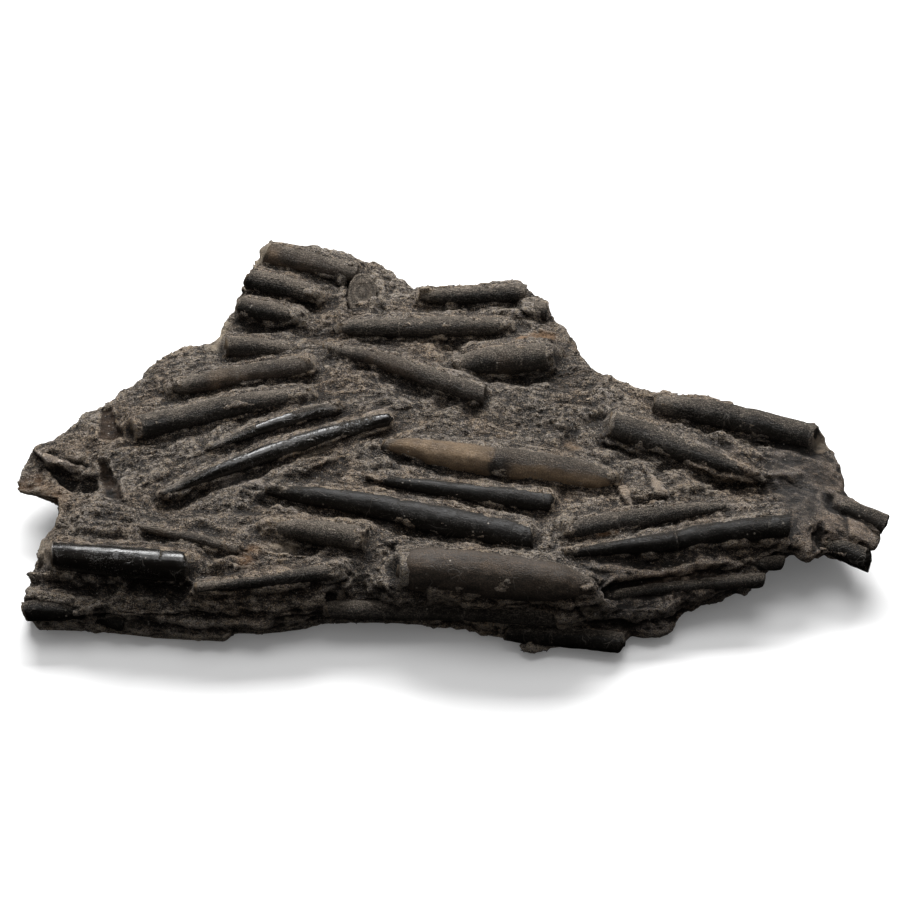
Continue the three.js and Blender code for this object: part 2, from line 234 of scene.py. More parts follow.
studio = {
    "floorSize": 7.0,
    "floorLevel": -0.0003,
    "floorTone": 0.86,
    "floorGlow": 0.08,      # lifts the shadow
    "keyPower": 37.0,
    "keyPlace": (-0.02, 0.93, 0.97),
    "keySize": (1.3, 0.5),
    "topPower": 13.0,
    "topPlace": (0.05, 0.35, 1.9),
    "topSize": 1.2,
    "aim": (0.0, 0.0, 0.02),
    "domeTop": 0.50,
    "domeLow": 0.115,
    "domeRise": (-0.15, 0.9),       # heights between which it brightens
    "domeBack": 0.35,               # how much its back is brighter than its front
}


def makeStudio(settings):
    half = settings["floorSize"] / 2
    corners = [(x, y, settings["floorLevel"])
               for x, y in ((-half, -half), (half, -half), (half, half), (-half, half))]
    mesh = bpy.data.meshes.new("floor")
    mesh.from_pydata(corners, [], [(0, 1, 2, 3)])
    floor = bpy.data.objects.new("floor", mesh)
    scene.collection.objects.link(floor)
    finish = Finish("paleFloor")
    tone = settings["floorTone"]
    mesh.materials.append(finish.surface({"Base Color": (tone, tone, tone, 1.0), "Roughness": 0.9,
                                          "Emission Color": (1.0, 1.0, 1.0, 1.0),
                                          "Emission Strength": settings["floorGlow"]}))
    floor.visible_diffuse = False
    floor.visible_glossy = False

    def areaLight(name, place, size, power, tall=None):
        data = bpy.data.lights.new(name, "AREA")
        data.shape = "RECTANGLE" if tall else "DISK"
        data.size = size
        if tall:
            data.size_y = tall
        data.energy = power
        lamp = bpy.data.objects.new(name, data)
        lamp.location = place
        aim = Vector(settings["aim"]) - Vector(place)
        lamp.rotation_euler = aim.to_track_quat("-Z", "Y").to_euler()
        scene.collection.objects.link(lamp)

    areaLight("keyLight", settings["keyPlace"], settings["keySize"][0], settings["keyPower"],
              settings["keySize"][1])
    areaLight("topLight", settings["topPlace"], settings["topSize"], settings["topPower"])

    world = bpy.data.worlds.new("dome")
    world.use_nodes = True
    world.node_tree.nodes.clear()
    dome = Tree(world.node_tree)
    split = dome.node("ShaderNodeSeparateXYZ", None, {0: dome.node("ShaderNodeTexCoord")})
    height = split.other("Z") + split.other("Y") * settings["domeBack"]
    low, top = settings["domeLow"], settings["domeTop"]
    power = height.step(*settings["domeRise"]) * (top - low) + low
    background = dome.node("ShaderNodeBackground", None, {"Strength": power})
    dome.node("ShaderNodeOutputWorld", None, {"Surface": background})
    world.cycles_visibility.glossy = False
    scene.world = world
    scene.view_settings.view_transform = "Standard"


makeStudio(studio)
print("camera, floor and light ready")


def hashed(ix, iy, iz, seed):
    h = (ix * 374761393 + iy * 668265263 + iz * 1442695041 + seed * 1013904223) & 0xFFFFFFFF
    h = ((h ^ (h >> 13)) * 1274126177) & 0xFFFFFFFF
    h = ((h ^ (h >> 16)) * 2246822519) & 0xFFFFFFFF
    return ((h >> 8) & 0xFFFF) / 32767.5 - 1.0


def lumps(points, size, seed, octaves=1, fall=0.5):
    # smooth value noise between -1 and 1; size is a number or one per axis
    total = np.zeros(len(points))
    share = 1.0
    whole = 0.0
    for octave in range(octaves):
        p = points / (np.asarray(size, float) / 2 ** octave)
        cell = np.floor(p).astype(np.int64)
        f = p - cell
        f = f * f * (3 - 2 * f)
        value = np.zeros(len(points))
        for corner in range(8):
            dx, dy, dz = corner & 1, (corner >> 1) & 1, corner >> 2
            weight = (f[:, 0] if dx else 1 - f[:, 0]) * (f[:, 1] if dy else 1 - f[:, 1])
            weight = weight * (f[:, 2] if dz else 1 - f[:, 2])
            value += weight * hashed(cell[:, 0] + dx, cell[:, 1] + dy, cell[:, 2] + dz, seed + 31 * octave)
        total += share * value
        whole += share
        share *= fall
    return total / whole


def grains(points, size, seed):
    # distance to the nearest scattered grain centre, in grain sizes
    p = points / size
    cell = np.floor(p).astype(np.int64)
    best = np.full(len(points), 9.0)
    for dx in (-1, 0, 1):
        for dy in (-1, 0, 1):
            for dz in (-1, 0, 1):
                c = cell + (dx, dy, dz)
                centre = c + 0.5 + 0.45 * np.stack(
                    [hashed(c[:, 0], c[:, 1], c[:, 2], seed + k) for k in range(3)], 1)
                best = np.minimum(best, ((p - centre) ** 2).sum(1))
    return np.sqrt(best)


def smooth(value, low, high):
    t = np.clip((value - low) / (high - low), 0.0, 1.0)
    return t * t * (3 - 2 * t)


def leanOf(heading):
    # how far the guards' direction turns from the slab's length, from -1 to 1
    angle = np.degrees(np.arctan2(heading[:, 1], heading[:, 0]))
    return np.clip(((angle + 90) % 180 - 90) / 17, -1, 1)


def mergedMesh(node, name):
    # a copy of a CAD node with its loose triangles joined
    work = bmesh.new()
    work.from_mesh(node.data)
    bmesh.ops.remove_doubles(work, verts=work.verts, dist=2e-6)
    mesh = bpy.data.meshes.new(name)
    work.to_mesh(mesh)
    work.free()
    return mesh


def readFrom(items, key, width, kind=np.float32):
    values = np.empty(len(items) * width, kind)
    items.foreach_get(key, values)
    return values.reshape(-1, width)


def pointsOf(mesh):
    return readFrom(mesh.vertices, "co", 3).astype(float)


def normalsOf(mesh):
    return readFrom(mesh.vertex_normals, "vector", 3).astype(float)


def valuesOf(mesh, name):
    return readFrom(mesh.attributes[name].data, "value", 1)[:, 0]


def edgesOf(mesh):
    return readFrom(mesh.edges, "vertices", 2, np.int32)


def movePoints(mesh, points):
    mesh.vertices.foreach_set("co", points.astype(np.float32).ravel())
    mesh.update()


def paint(mesh, name, values):
    kind = "FLOAT" if values.ndim == 1 else "FLOAT_VECTOR"
    layer = mesh.attributes.get(name) or mesh.attributes.new(name, kind, "POINT")
    layer.data.foreach_set("value" if kind == "FLOAT" else "vector", values.astype(np.float32).ravel())


def pieceFrom(mesh, name, material, slot, *replaced):
    piece = bpy.data.objects.new(name, mesh)
    mesh.materials.clear()
    mesh.materials.append(material)
    mesh.polygons.foreach_set("use_smooth", np.ones(len(mesh.polygons), bool))
    scene.collection.objects.link(piece)
    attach(piece, "root")
    if replaced:
        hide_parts(*replaced)


def evaluated(piece, name):
    # the piece as its modifiers leave it, as a plain mesh
    graph = bpy.context.evaluated_depsgraph_get()
    mesh = bpy.data.meshes.new_from_object(piece.evaluated_get(graph), depsgraph=graph)
    mesh.name = name
    bpy.data.objects.remove(piece)
    return mesh


def remeshed(mesh, voxel, name):
    piece = bpy.data.objects.new(name, mesh)
    scene.collection.objects.link(piece)
    remesh = piece.modifiers.new("fine", "REMESH")
    remesh.mode = "VOXEL"
    remesh.voxel_size = voxel
    return evaluated(piece, name)


# millimetres
axisSpec = {
    "spacing": 5,                   # between the slices through a guard
    "insets": (0.05, 0.6, 2.2),     # of the slices near each end
    "blunt": 2.3,                   # ends thicker than this stay blunt
    "bluntShare": 0.96,
    "dip": 0.02,                    # fall of an end that runs on into the rock
    "least": 0.6,                   # its least radius
}


def measureGuard(node):
    # middle and radius at stations along the guard, in millimetres
    mesh = mergedMesh(node, "measured")
    points = pointsOf(mesh) * 1000
    edges = edgesOf(mesh)
    bpy.data.meshes.remove(mesh)
    centre = points.mean(0)
    axis = np.linalg.svd(points - centre)[2][0]
    axis = axis if axis[0] > 0 else -axis
    side = np.cross((0.0, 0.0, 1.0), axis)
    side /= np.linalg.norm(side)
    above = np.cross(axis, side)
    local = (points - centre) @ np.stack([axis, side, above], 1)
    low, high = local[:, 0].min(), local[:, 0].max()
    count = max(8, int((high - low) / axisSpec["spacing"]))
    tip, rim, inner = axisSpec["insets"]
    stops = np.concatenate([[low + tip, low + rim], np.linspace(low + inner, high - inner, count),
                            [high - rim, high - tip]])
    middles, radii = [], []
    a, b = local[edges[:, 0]], local[edges[:, 1]]
    for stop in stops:
        cut = (a[:, 0] - stop) * (b[:, 0] - stop) < 0
        share = ((stop - a[cut, 0]) / (b[cut, 0] - a[cut, 0]))[:, None]
        ring = a[cut] + (b[cut] - a[cut]) * share
        flat = ring[:, 1:]
        middle = (flat.min(0) + flat.max(0)) / 2
        middles.append(centre + axis * stop + side * middle[0] + above * middle[1])
        radii.append(np.percentile(np.linalg.norm(flat - middle, axis=1), 90))
    middles, radii = np.array(middles), np.array(radii)
    # the last slices are partial, so the ends follow the runs before them
    for outer, first, second in ((0, 2, 4), (1, 2, 4), (-1, -3, -5), (-2, -3, -5)):
        heading = (middles[first] - middles[second]) / abs(stops[first] - stops[second])
        middles[outer] = middles[first] + heading * abs(stops[outer] - stops[first])
        if radii[first] > axisSpec["blunt"]:
            radii[outer] = max(radii[outer], axisSpec["bluntShare"] * radii[first])
    return middles, radii


guardNames = sorted(name for name in nodes if name.startswith("guard_") and name != "guard_on_end")
# millimetres by which some guards run on into the rock past the ends of their solids
runOn = {
    "guard_back_left_1": (1.5, 3),
    "guard_back_left_2": (3, 7),
    "guard_back_left_3": (2, 7),
    "guard_back_left_4": (0.5, 6),
    "guard_back_middle": (3, 4),
    "guard_level": (2, 4),
    "guard_long_upper": (4, 4),
    "guard_curved": (6, 2),
    "guard_blunt": (2, 5),
    "guard_hollow": (0, 10),
    "guard_coated": (6, 0),
    "guard_tapering": (3, 8),
    "guard_stout": (0, 4),
    "guard_slender": (6, 1),
}


def drawnOn(name, middles, radii):
    # each end follows its last run, dips a little and thins
    for side, length in enumerate(runOn.get(name, (0, 0))):
        if side:
            middles, radii = middles[::-1], radii[::-1]
        if length:
            heading = middles[2] - middles[6]
            heading = heading / np.linalg.norm(heading)
            taper = np.clip((radii[2] - radii[6]) / np.linalg.norm(middles[2] - middles[6]), -0.25, 0)
            steps = np.linspace(length, 0, max(3, int(length)), endpoint=False)[:, None]
            dip = np.array([0.0, 0.0, -axisSpec["dip"]]) * steps ** 2
            added = middles[2] + heading * steps + dip
            thinner = radii[2] * (1 - 0.25 * (steps[:, 0] / 10) ** 2) + taper * steps[:, 0]
            middles = np.concatenate([added, middles[2:]])
            radii = np.concatenate([np.maximum(thinner, axisSpec["least"]), radii[2:]])
        if side:
            middles, radii = middles[::-1], radii[::-1]
    return middles, radii


axes = {name: drawnOn(name, *measureGuard(nodes[name])) for name in guardNames}
print("guards measured:", len(axes))


def nearestGuard(points, shapes):
    # for each point: distance to the nearest guard's skin, direction to its axis, its heading
    gap = np.full(len(points), 99.0)
    inward = np.zeros((len(points), 3))
    heading = np.zeros((len(points), 3))
    for middles, radii in shapes.values():
        low = middles.min(0) - radii.max() - 14
        high = middles.max(0) + radii.max() + 14
        near = np.where(((points > low) & (points < high)).all(1))[0]
        p = points[near]
        best = np.full(len(near), 99.0)
        toward = np.zeros((len(near), 3))
        along = np.zeros((len(near), 3))
        last = len(radii) - 2
        for k in range(len(radii) - 1):
            step = middles[k + 1] - middles[k]
            size = np.linalg.norm(step)
            t = (p - middles[k]) @ step / size ** 2
            if k == 0:
                past = np.maximum(-t, 0) * size
            elif k == last:
                past = np.maximum(t - 1, 0) * size
            else:
                past = np.zeros(len(p))
            t = np.clip(t, -9 if k == 0 else 0, 9 if k == last else 1)
            inner = np.clip(t, 0, 1)
            spot = middles[k] + t[:, None] * step
            across = np.linalg.norm(p - spot, axis=1)
            reach = across - (radii[k] + inner * (radii[k + 1] - radii[k]))
            distance = np.where(past > 0, np.hypot(np.maximum(reach, 0), past), reach)
            closer = distance < best
            best[closer] = distance[closer]
            aim = middles[k] + inner[:, None] * step - p
            aim /= np.maximum(np.linalg.norm(aim, axis=1), 1e-6)[:, None]
            toward[closer] = aim[closer]
            along[closer] = step / size
        closer = best < gap[near]
        gap[near[closer]] = best[closer]
        inward[near[closer]] = toward[closer]
        heading[near[closer]] = along[closer]
    return gap, inward, heading


# tone 0 is black, 1 is tan; next comes how much dull rock film lies on the skin, to which a painted
# lighter top side is added; coat is how raggedly rock covers it; bury, rounded and hollow are millimetres
# at its ends; tan, shine, light and cracks are shares of its length; bank and foot are as in seatSpec
guardSpecs = {
    "guard_back_left_1": {"tone": 0.50, "film": 0.35, "skin": "satin", "cracks": [0.62],
                          "bury": (0, 10), "coat": 0.8, "tan": (0.0, 0.45)},
    "guard_back_left_2": {"tone": 0.14, "film": 0.40, "skin": "dull", "bury": (0, 9), "coat": 1.2,
                          "rounded": (0, 4)},
    "guard_back_left_3": {"tone": 0.14, "film": 0.40, "skin": "dull", "bury": (0, 9), "coat": 1.2,
                          "rounded": (0, 4)},
    "guard_back_left_4": {"tone": 0.38, "film": 0.35, "skin": "dull", "bury": (0, 8), "coat": 0.8},
    "guard_back_middle": {"tone": 0.15, "film": 0.42, "skin": "dull", "bury": (8, 3), "coat": 1.2,
                          "rounded": (5, 0)},
    "guard_back_corner": {"tone": 0.12, "film": 0.40, "skin": "dull", "bury": (6, 0), "coat": 1.2},
    "guard_level": {"tone": 0.32, "film": 0.56, "skin": "satin", "cracks": [0.35], "bury": (3, 7),
                    "coat": 0.9, "rounded": (5, 4)},
    "guard_short": {"tone": 0.26, "film": 0.50, "skin": "dull", "cracks": [0.40, 0.66],
                    "bury": (4, 3), "coat": 0.9, "tan": (0.4, 0.6), "rounded": (0, 4)},
    "guard_curved": {"tone": 0.36, "film": 0.40, "skin": "satin", "cracks": [0.55, 0.8],
                     "bury": (10, 0), "coat": 0.8, "tan": (0.3, 0.6)},
    "guard_long_upper": {"tone": 0.38, "film": 0.30, "skin": "satin", "cracks": [0.47],
                         "bury": (11, 9), "coat": 1.0, "tan": (0.3, 0.5), "rounded": (5, 3)},
    "guard_blunt": {"tone": 0.14, "film": 0.36, "skin": "satin", "cracks": [0.22, 0.58],
                    "bury": (3, 15), "coat": 1.0, "rounded": (4, 5)},
    "guard_thin": {"tone": 0.08, "film": 0.14, "skin": "glossy", "cracks": [0.36], "bury": (9, 6),
                   "shine": (0.36, 0.62)},
    "guard_polished": {"foot": 0.3, "tone": 0.06, "film": -0.04, "skin": "glossy",
                       "cracks": [0.39, 0.9], "bury": (11, 0), "coat": 0.25, "shine": (0.395, 0.72),
                       "rounded": (0, 2)},
    "guard_brown": {"foot": 0.2, "tone": 0.40, "film": 0.1, "skin": "satin", "cracks": [0.47],
                    "bury": (3, 7), "coat": 0.35, "light": 0.465},
    "guard_dark": {"foot": 0.25, "tone": 0.0, "film": -0.24, "skin": "satin", "cracks": [0.44],
                   "bury": (11, 0), "coat": 0.35, "rounded": (0, 2.5)},
    "guard_black": {"foot": 0.3, "tone": 0.0, "film": -0.32, "skin": "satin", "cracks": [0.50, 0.93],
                    "bury": (11, 0), "coat": 0.35},
    "guard_stout": {"foot": 0.45, "tone": 0.44, "film": -0.5, "skin": "dull", "cracks": [0.30],
                    "bury": (0, 11), "coat": 0.3, "rounded": (7, 3)},
    "guard_coated": {"tone": 0.30, "film": 0.52, "skin": "dull", "bury": (9, 4), "coat": 1.0,
                     "rounded": (0, 4)},
    "guard_front_middle": {"tone": 0.1, "film": 0.30, "skin": "satin", "cracks": [0.63],
                           "bury": (9, 9), "coat": 1.2, "rounded": (0, 5)},
    "guard_front_left": {"foot": 0.5, "tone": 0.03, "film": -0.03, "skin": "glossy", "cracks": [0.51, 0.80],
                         "coat": 0.2, "rounded": (0, 3)},
    "guard_slender": {"tone": 0.40, "film": 0.35, "skin": "satin", "bury": (13, 9), "coat": 1.0,
                      "tan": (0.2, 0.5)},
    "guard_tapering": {"tone": 0.13, "film": 0.36, "skin": "satin", "cracks": [0.3], "bury": (5, 11),
                       "coat": 0.7, "rounded": (5, 0)},
    "guard_lower_long": {"foot": 0.3, "tone": 0.03, "film": -0.14, "skin": "satin", "cracks": [0.50],
                         "bury": (7, 0), "coat": 0.25},
    "guard_back_right": {"bank": 0.3, "foot": 0.25, "tone": 0.14, "film": 0.34, "skin": "satin",
                         "cracks": [0.55], "bury": (9, 0), "coat": 0.6},
    "guard_hollow": {"foot": 0.3, "tone": 0.14, "film": 0.34, "skin": "satin", "cracks": [0.15, 0.5],
                     "bury": (0, 14), "hollow": 3.2, "coat": 0.6},
    "guard_front_arch": {"tone": 0.22, "film": 0.50, "skin": "satin", "cracks": [0.25, 0.6]},
    "guard_foot": {"tone": 0.05, "film": 0.25, "skin": "satin", "cracks": [0.4], "rounded": (0, 1.5)},
    "guard_ledge_left": {"tone": 0.04, "film": 0.2, "skin": "satin", "cracks": [0.7]},
    "guard_ledge_low": {"tone": 0.05, "film": 0.2, "skin": "satin"},
    "guard_slope_right": {"tone": 0.18, "film": 0.3, "skin": "satin", "cracks": [0.6], "bury": (8, 0)},
    "guard_ledge_right": {"tone": 0.16, "film": 0.3, "skin": "dull", "bury": (4, 0)},
    "guard_tail_upper": {"tone": 0.2, "film": 0.15, "skin": "dull", "bury": (5, 0)},
    "guard_tail_lower": {"tone": 0.08, "film": 0.15, "skin": "satin", "bury": (5, 0)},
}


seatSpec = {
    "reach": 26.0,          # millimetres round a guard within which the rock follows it
    "bank": 0.82,           # rock behind a guard reaches this share of its radius above the axis
    "bankSlope": 0.34,      # fall of that rock away from the guard
    "bankWave": (0.5, 9.0),         # height and size in millimetres
    "foot": 0.12,           # rock in front starts this share of the radius below the axis
    "footSlope": 1.1,
    "footWave": (1.1, 7.0),
    "footRagged": (0.7, 2.6),
    "pastEnd": 1.2,         # slope of the rock past a guard's end
    "bare": 0.55,           # millimetres of the guard clear of the rock where it is exposed
    "crust": 0.9,           # millimetres of rock over it where it is covered
    "edge": (0.28, 0.22),   # shares of the radius over which the cover begins
    "ragged": (6.0, 3.5, 3.5),      # size of its ragged rim in millimetres
    "groove": 1.4,          # rock this near a guard's skin is its groove
    "upper": (13, 17),      # heights in millimetres where the upper face begins
}


wallGuards = [name for name in guardNames if axes[name][0][:, 2].max() < 17]
beddingGuards = [name for name in guardNames if name not in wallGuards]


def alongGuard(points, middles, radii, reach):
    # plan position of points by a guard: who is near, distance along, across, past the end, axis, radius
    low = middles[:, :2].min(0) - reach
    high = middles[:, :2].max(0) + reach
    near = np.where(((points[:, :2] > low) & (points[:, :2] < high)).all(1))[0]
    p = points[near, :2]
    best = np.full(len(near), 1e9)
    out = {key: np.zeros(len(near)) for key in ("along", "across", "past", "height", "radius")}
    start = 0.0
    last = len(radii) - 2
    for k in range(len(radii) - 1):
        step = middles[k + 1, :2] - middles[k, :2]
        size = np.linalg.norm(step)
        step = step / size
        raw = (p - middles[k, :2]) @ step
        t = np.clip(raw, 0, size)
        side = (p - middles[k, :2]) @ np.array([-step[1], step[0]])
        past = np.zeros(len(p))
        if k == 0:
            past = np.minimum(raw, 0)
        if k == last:
            past = past + np.maximum(raw - size, 0)
        miss = np.hypot(side, raw - t)
        closer = miss < best
        best[closer] = miss[closer]
        share = t / size
        values = (start + t, side, past, middles[k, 2] + share * (middles[k + 1, 2] - middles[k, 2]),
                  radii[k] + share * (radii[k + 1] - radii[k]))
        for key, value in zip(out, values):
            out[key][closer] = value[closer]
        start += size
    out["whole"] = start
    return near, out


def acrossGuard(points, middles, radii):
    near, place = alongGuard(points, middles, radii, 60.0)
    across = np.zeros(len(points))
    across[near] = place["across"]
    return across


def bareness(name, place, points):
    # millimetres by which the guard stands clear of the rock over it; negative where rock covers it
    spec = guardSpecs[name]
    seed = 300 + guardNames.index(name)
    q = place["across"] / place["radius"]
    k = spec.get("bank", seatSpec["bank"])
    contact = math.sqrt(1 - k * k)
    before, beyond = seatSpec["edge"]
    cover = smooth(q, contact - before, contact + beyond)
    for end, bury in zip((place["along"], place["whole"] - place["along"]), spec.get("bury", (0, 0))):
        if bury > 0:
            cover = np.maximum(cover, 1 - smooth(end, bury * 0.45, bury))
    coat = spec.get("coat", 0.5)
    ragged = lumps(points * (1, 1, 0), seatSpec["ragged"], seed, 3, 0.6)
    clear = seatSpec["bare"] - (seatSpec["bare"] + seatSpec["crust"]) * cover
    clear = clear - coat * (0.25 + smooth(q, -0.9, 0.3)) * (ragged + 0.12) * 1.1
    return clear


def seatedLevel(points, level):
    # height of the rock's upper surface at each point, from the plain bedding level
    high = level.copy()
    places = []
    for number, name in enumerate(beddingGuards):
        near, place = alongGuard(points, *axes[name], seatSpec["reach"])
        if len(near):
            sizes = place["radius"], place["across"], np.abs(place["past"])
            places.append((number, name, near, place, sizes))
    rise, size = seatSpec["bankWave"]
    for number, name, near, place, (r, s, past) in places:
        k = guardSpecs[name].get("bank", seatSpec["bank"])
        wave = lumps(points[near], size, 80 + number, 2)
        slope = seatSpec["bankSlope"] * (1 + 0.5 * wave)
        beyond = s - math.sqrt(1 - k * k) * r
        behind = np.maximum(beyond, 0)
        line = place["height"] + k * r - slope * behind - 0.03 * behind ** 2 + 1.3 * np.minimum(beyond, 0)
        line = line + rise * wave - seatSpec["pastEnd"] * past
        step = line - high[near]
        # a soft step up to the bank
        high[near] += np.where(step > 0, step * smooth(step, -0.1, 1.2), 0)
    rise, size = seatSpec["footWave"]
    bits, bitSize = seatSpec["footRagged"]
    for number, name, near, place, (r, s, past) in places:
        f = guardSpecs[name].get("foot", seatSpec["foot"])
        wave = lumps(points[near], size, 180 + number, 2)
        ragged = lumps(points[near], bitSize, 280 + number, 2)
        line = place["height"] - f * r + seatSpec["footSlope"] * (1 + 0.4 * wave) * np.maximum(-s - r, 0)
        line = line + seatSpec["pastEnd"] * past + rise * wave + bits * ragged
        front = (s < 0) & (past < 4)
        high[near] = np.where(front & (line < high[near]), line, high[near])
    for _, name, near, place, (r, s, past) in places:
        q = s / r
        inside = (np.abs(q) < 1) & (past < 0.2)
        crest = place["height"] + np.sqrt(np.maximum(r * r - s * s, 0))
        clear = bareness(name, place, points[near])
        over = crest - clear
        over = np.where((clear < 0) & (q > 0), np.maximum(over, high[near]), over)
        high[near] = np.where(inside, over, high[near])
    return high


def drawnNoise(finish, spot, lean, across, along):
    # noise drawn out along the guards: three courses, blended by the painted lean
    total = 0.0
    shares = {-0.30: (0.0 - lean).clamp(), 0.0: 1.0 - lean.maths("ABSOLUTE"), 0.30: lean.clamp()}
    for angle, share in shares.items():
        turned = finish.node("ShaderNodeVectorRotate", {"rotation_type": "Z_AXIS"},
                             {"Vector": spot, "Angle": -angle})
        total = finish.noise(finish.place(turned, (along, across, across)), 1.0, 3.0, 0.65) * share + total
    return total


def chips(finish, source, size):
    # the height and the tone of flat chips, each tilted its own way; size is in millimetres
    placed = finish.place(source, [1000.0 / part for part in size])
    cell = finish.cells(placed, 1.0, out="Position")
    inside = finish.vectors("SUBTRACT", placed, cell)
    tilt = finish.vectors("SUBTRACT", cell.other("Color"), (0.5, 0.5, 0.5))
    height = finish.vectors("DOT_PRODUCT", inside, tilt, out="Value")
    return height, cell.other("Color") - 0.5


# the finest grain, alike on rock and guards: scale, detail and roughness of the noise, and for the
# fibres the scales across and along
grainLook = {
    "fine": (1400.0, 3.0, 0.8),
    "grit": (2500.0, 1.0, 0.5),
    "fibre": (2000.0, 480.0),
}


def grainOf(finish, spot, lean):
    fine = finish.noise(spot, *grainLook["fine"])
    grit = finish.noise(spot, *grainLook["grit"])
    return fine, grit, drawnNoise(finish, spot, lean, *grainLook["fibre"])


def bentBy(finish, spot, scale, rough, reach):
    # the place moved about by a noise
    warp = finish.noise(spot, scale, 2.0, rough, out=1)
    return finish.vectors("ADD", spot, finish.blend(reach, (0.0, 0.0, 0.0), warp, "ADD"))


def specksOf(finish, spot, look):
    # small pale specks in patches
    dots = finish.cells(spot, look["speckScale"]).step(*look["speckEdge"])
    return dots * finish.noise(spot, look["patchScale"]).step(*look["patchEdge"])


marlLook = {
    # scale, detail and roughness of each noise; for the strands the scales across and along
    "broadNoise": (24.0, 4.0, 0.6),
    "middlingNoise": (170.0, 4.0, 0.6),
    "tintNoise": (38.0, 3.0, 0.6),
    "warmthNoise": (700.0, 3.0, 0.7),
    "strandNoise": (700.0, 170.0),
    # shares of each pattern in the tone
    # relief makes crests paler and hollows darker: worn dust, painted light on the crests and painted shade
    # in the hollows; dark is painted shade
    "relief": 0.46, "middling": 0.22, "fine": 1.0, "grit": 1.7, "fibre": 0.9, "strand": 0.3, "broad": 0.5,
    "slabTone": 0.22, "flakeTone": 0.30, "tone": 0.525, "dark": 0.38,
    # shares of each in the height
    "fineHigh": 1.0, "gritHigh": 0.8, "fibreHigh": 0.8, "strandHigh": 0.4, "flakesHigh": 0.65,
    "middlingHigh": 0.3,
    "height": 0.0022,
    "slabs": (4.6, 2.3, 2.0),       # millimetres
    "flakes": (2.2, 1.1, 1.0),
    "tones": [
        (0.16, (0.011, 0.0088, 0.0068)),
        (0.38, (0.045, 0.0370, 0.0292)),
        (0.53, (0.110, 0.0905, 0.0715)),
        (0.68, (0.200, 0.1670, 0.1320)),
        (0.90, (0.44, 0.382, 0.312)),
    ],
    "brown": (0.60, 0.48, 0.36),
    "ochre": (0.62, 0.46, 0.30),
    "cold": (0.46, 0.47, 0.54),
    "rust": (0.30, 0.150, 0.058),
    "pale": (0.42, 0.345, 0.255),
    "speck": (0.46, 0.42, 0.37),
    "speckScale": 360.0,
    "speckEdge": (0.15, 0.07),
    "patchScale": 60.0,
    "patchEdge": (0.42, 0.56),
}


def matrixFinish(look):
    # crumbly dark marl: dull grey-brown with a fine fibrous grain, a little paler where it stands up and
    # darker in its hollows (worn dust with painted light and painted shade), and darker still where painted
    # shade is marked
    finish = Finish("darkMarl")
    spot = finish.node("ShaderNodeTexCoord", out="Object")
    relief, rust, pale, lean, dark, slick = [
        finish.attribute(name) for name in ("relief", "rust", "pale", "lean", "dark", "slick")]
    broad = finish.noise(spot, *look["broadNoise"])
    middling = finish.noise(spot, *look["middlingNoise"])
    fine, grit, fibre = grainOf(finish, spot, lean)
    strand = drawnNoise(finish, spot, lean, *look["strandNoise"])
    bent = bentBy(finish, spot, 420.0, 0.6, 0.0022)
    slabs, slabTone = chips(finish, bent, look["slabs"])
    flakes, flakeTone = chips(finish, bent, look["flakes"])
    rough = 1.0 - slick * 0.75
    mixed = ((fine - 0.5) * look["fine"] + (grit - 0.5) * look["grit"] + (fibre - 0.5) * look["fibre"]
             + (strand - 0.5) * look["strand"] + slabTone * look["slabTone"]
             + flakeTone * look["flakeTone"]) * rough
    # paler crests and darker hollows from the relief, partly painted light and shade, then painted shade
    # where dark is marked
    mixed = mixed + (relief - 0.5) * look["relief"] + (middling - 0.5) * look["middling"]
    mixed = mixed + (broad - 0.5) * look["broad"] + look["tone"] - dark * look["dark"]
    base = finish.ramp(mixed.clamp(), look["tones"])
    # some parts are greyer, some browner
    tint = finish.noise(spot, *look["tintNoise"]).step(0.40, 0.64)
    base = finish.blend(tint * 0.45, base, look["brown"], "SOFT_LIGHT")
    # single grains are ochre, others a cold grey
    warmth = finish.noise(spot, *look["warmthNoise"])
    base = finish.blend(warmth.step(0.48, 0.70) * 0.50 * rough, base, look["ochre"], "SOFT_LIGHT")
    cold = (warmth.step(0.54, 0.34) + slick * 0.3).clamp()
    base = finish.blend(cold, base, look["cold"], "SOFT_LIGHT")
    base = finish.blend(rust * middling.step(0.30, 0.55), base, look["rust"])
    base = finish.blend(pale * middling.step(0.22, 0.48), base, look["pale"])
    base = finish.blend(specksOf(finish, spot, look) * 0.85, base, look["speck"])
    height = (fine * look["fineHigh"] + grit * look["gritHigh"] + fibre * look["fibreHigh"]
              + strand * look["strandHigh"] + flakes * look["flakesHigh"]) * rough
    height = height + slabs * (1.0 - slick * 0.4) + middling * look["middlingHigh"]
    normal = finish.bump(height, 1.0, look["height"])
    return finish.surface({
        "Base Color": base,
        "Roughness": finish.noise(spot, 500.0).step(0.2, 0.8) * 0.25 + 0.60 - slick * 0.15,
        "Specular IOR Level": 0.35,
        "Normal": normal,
    })


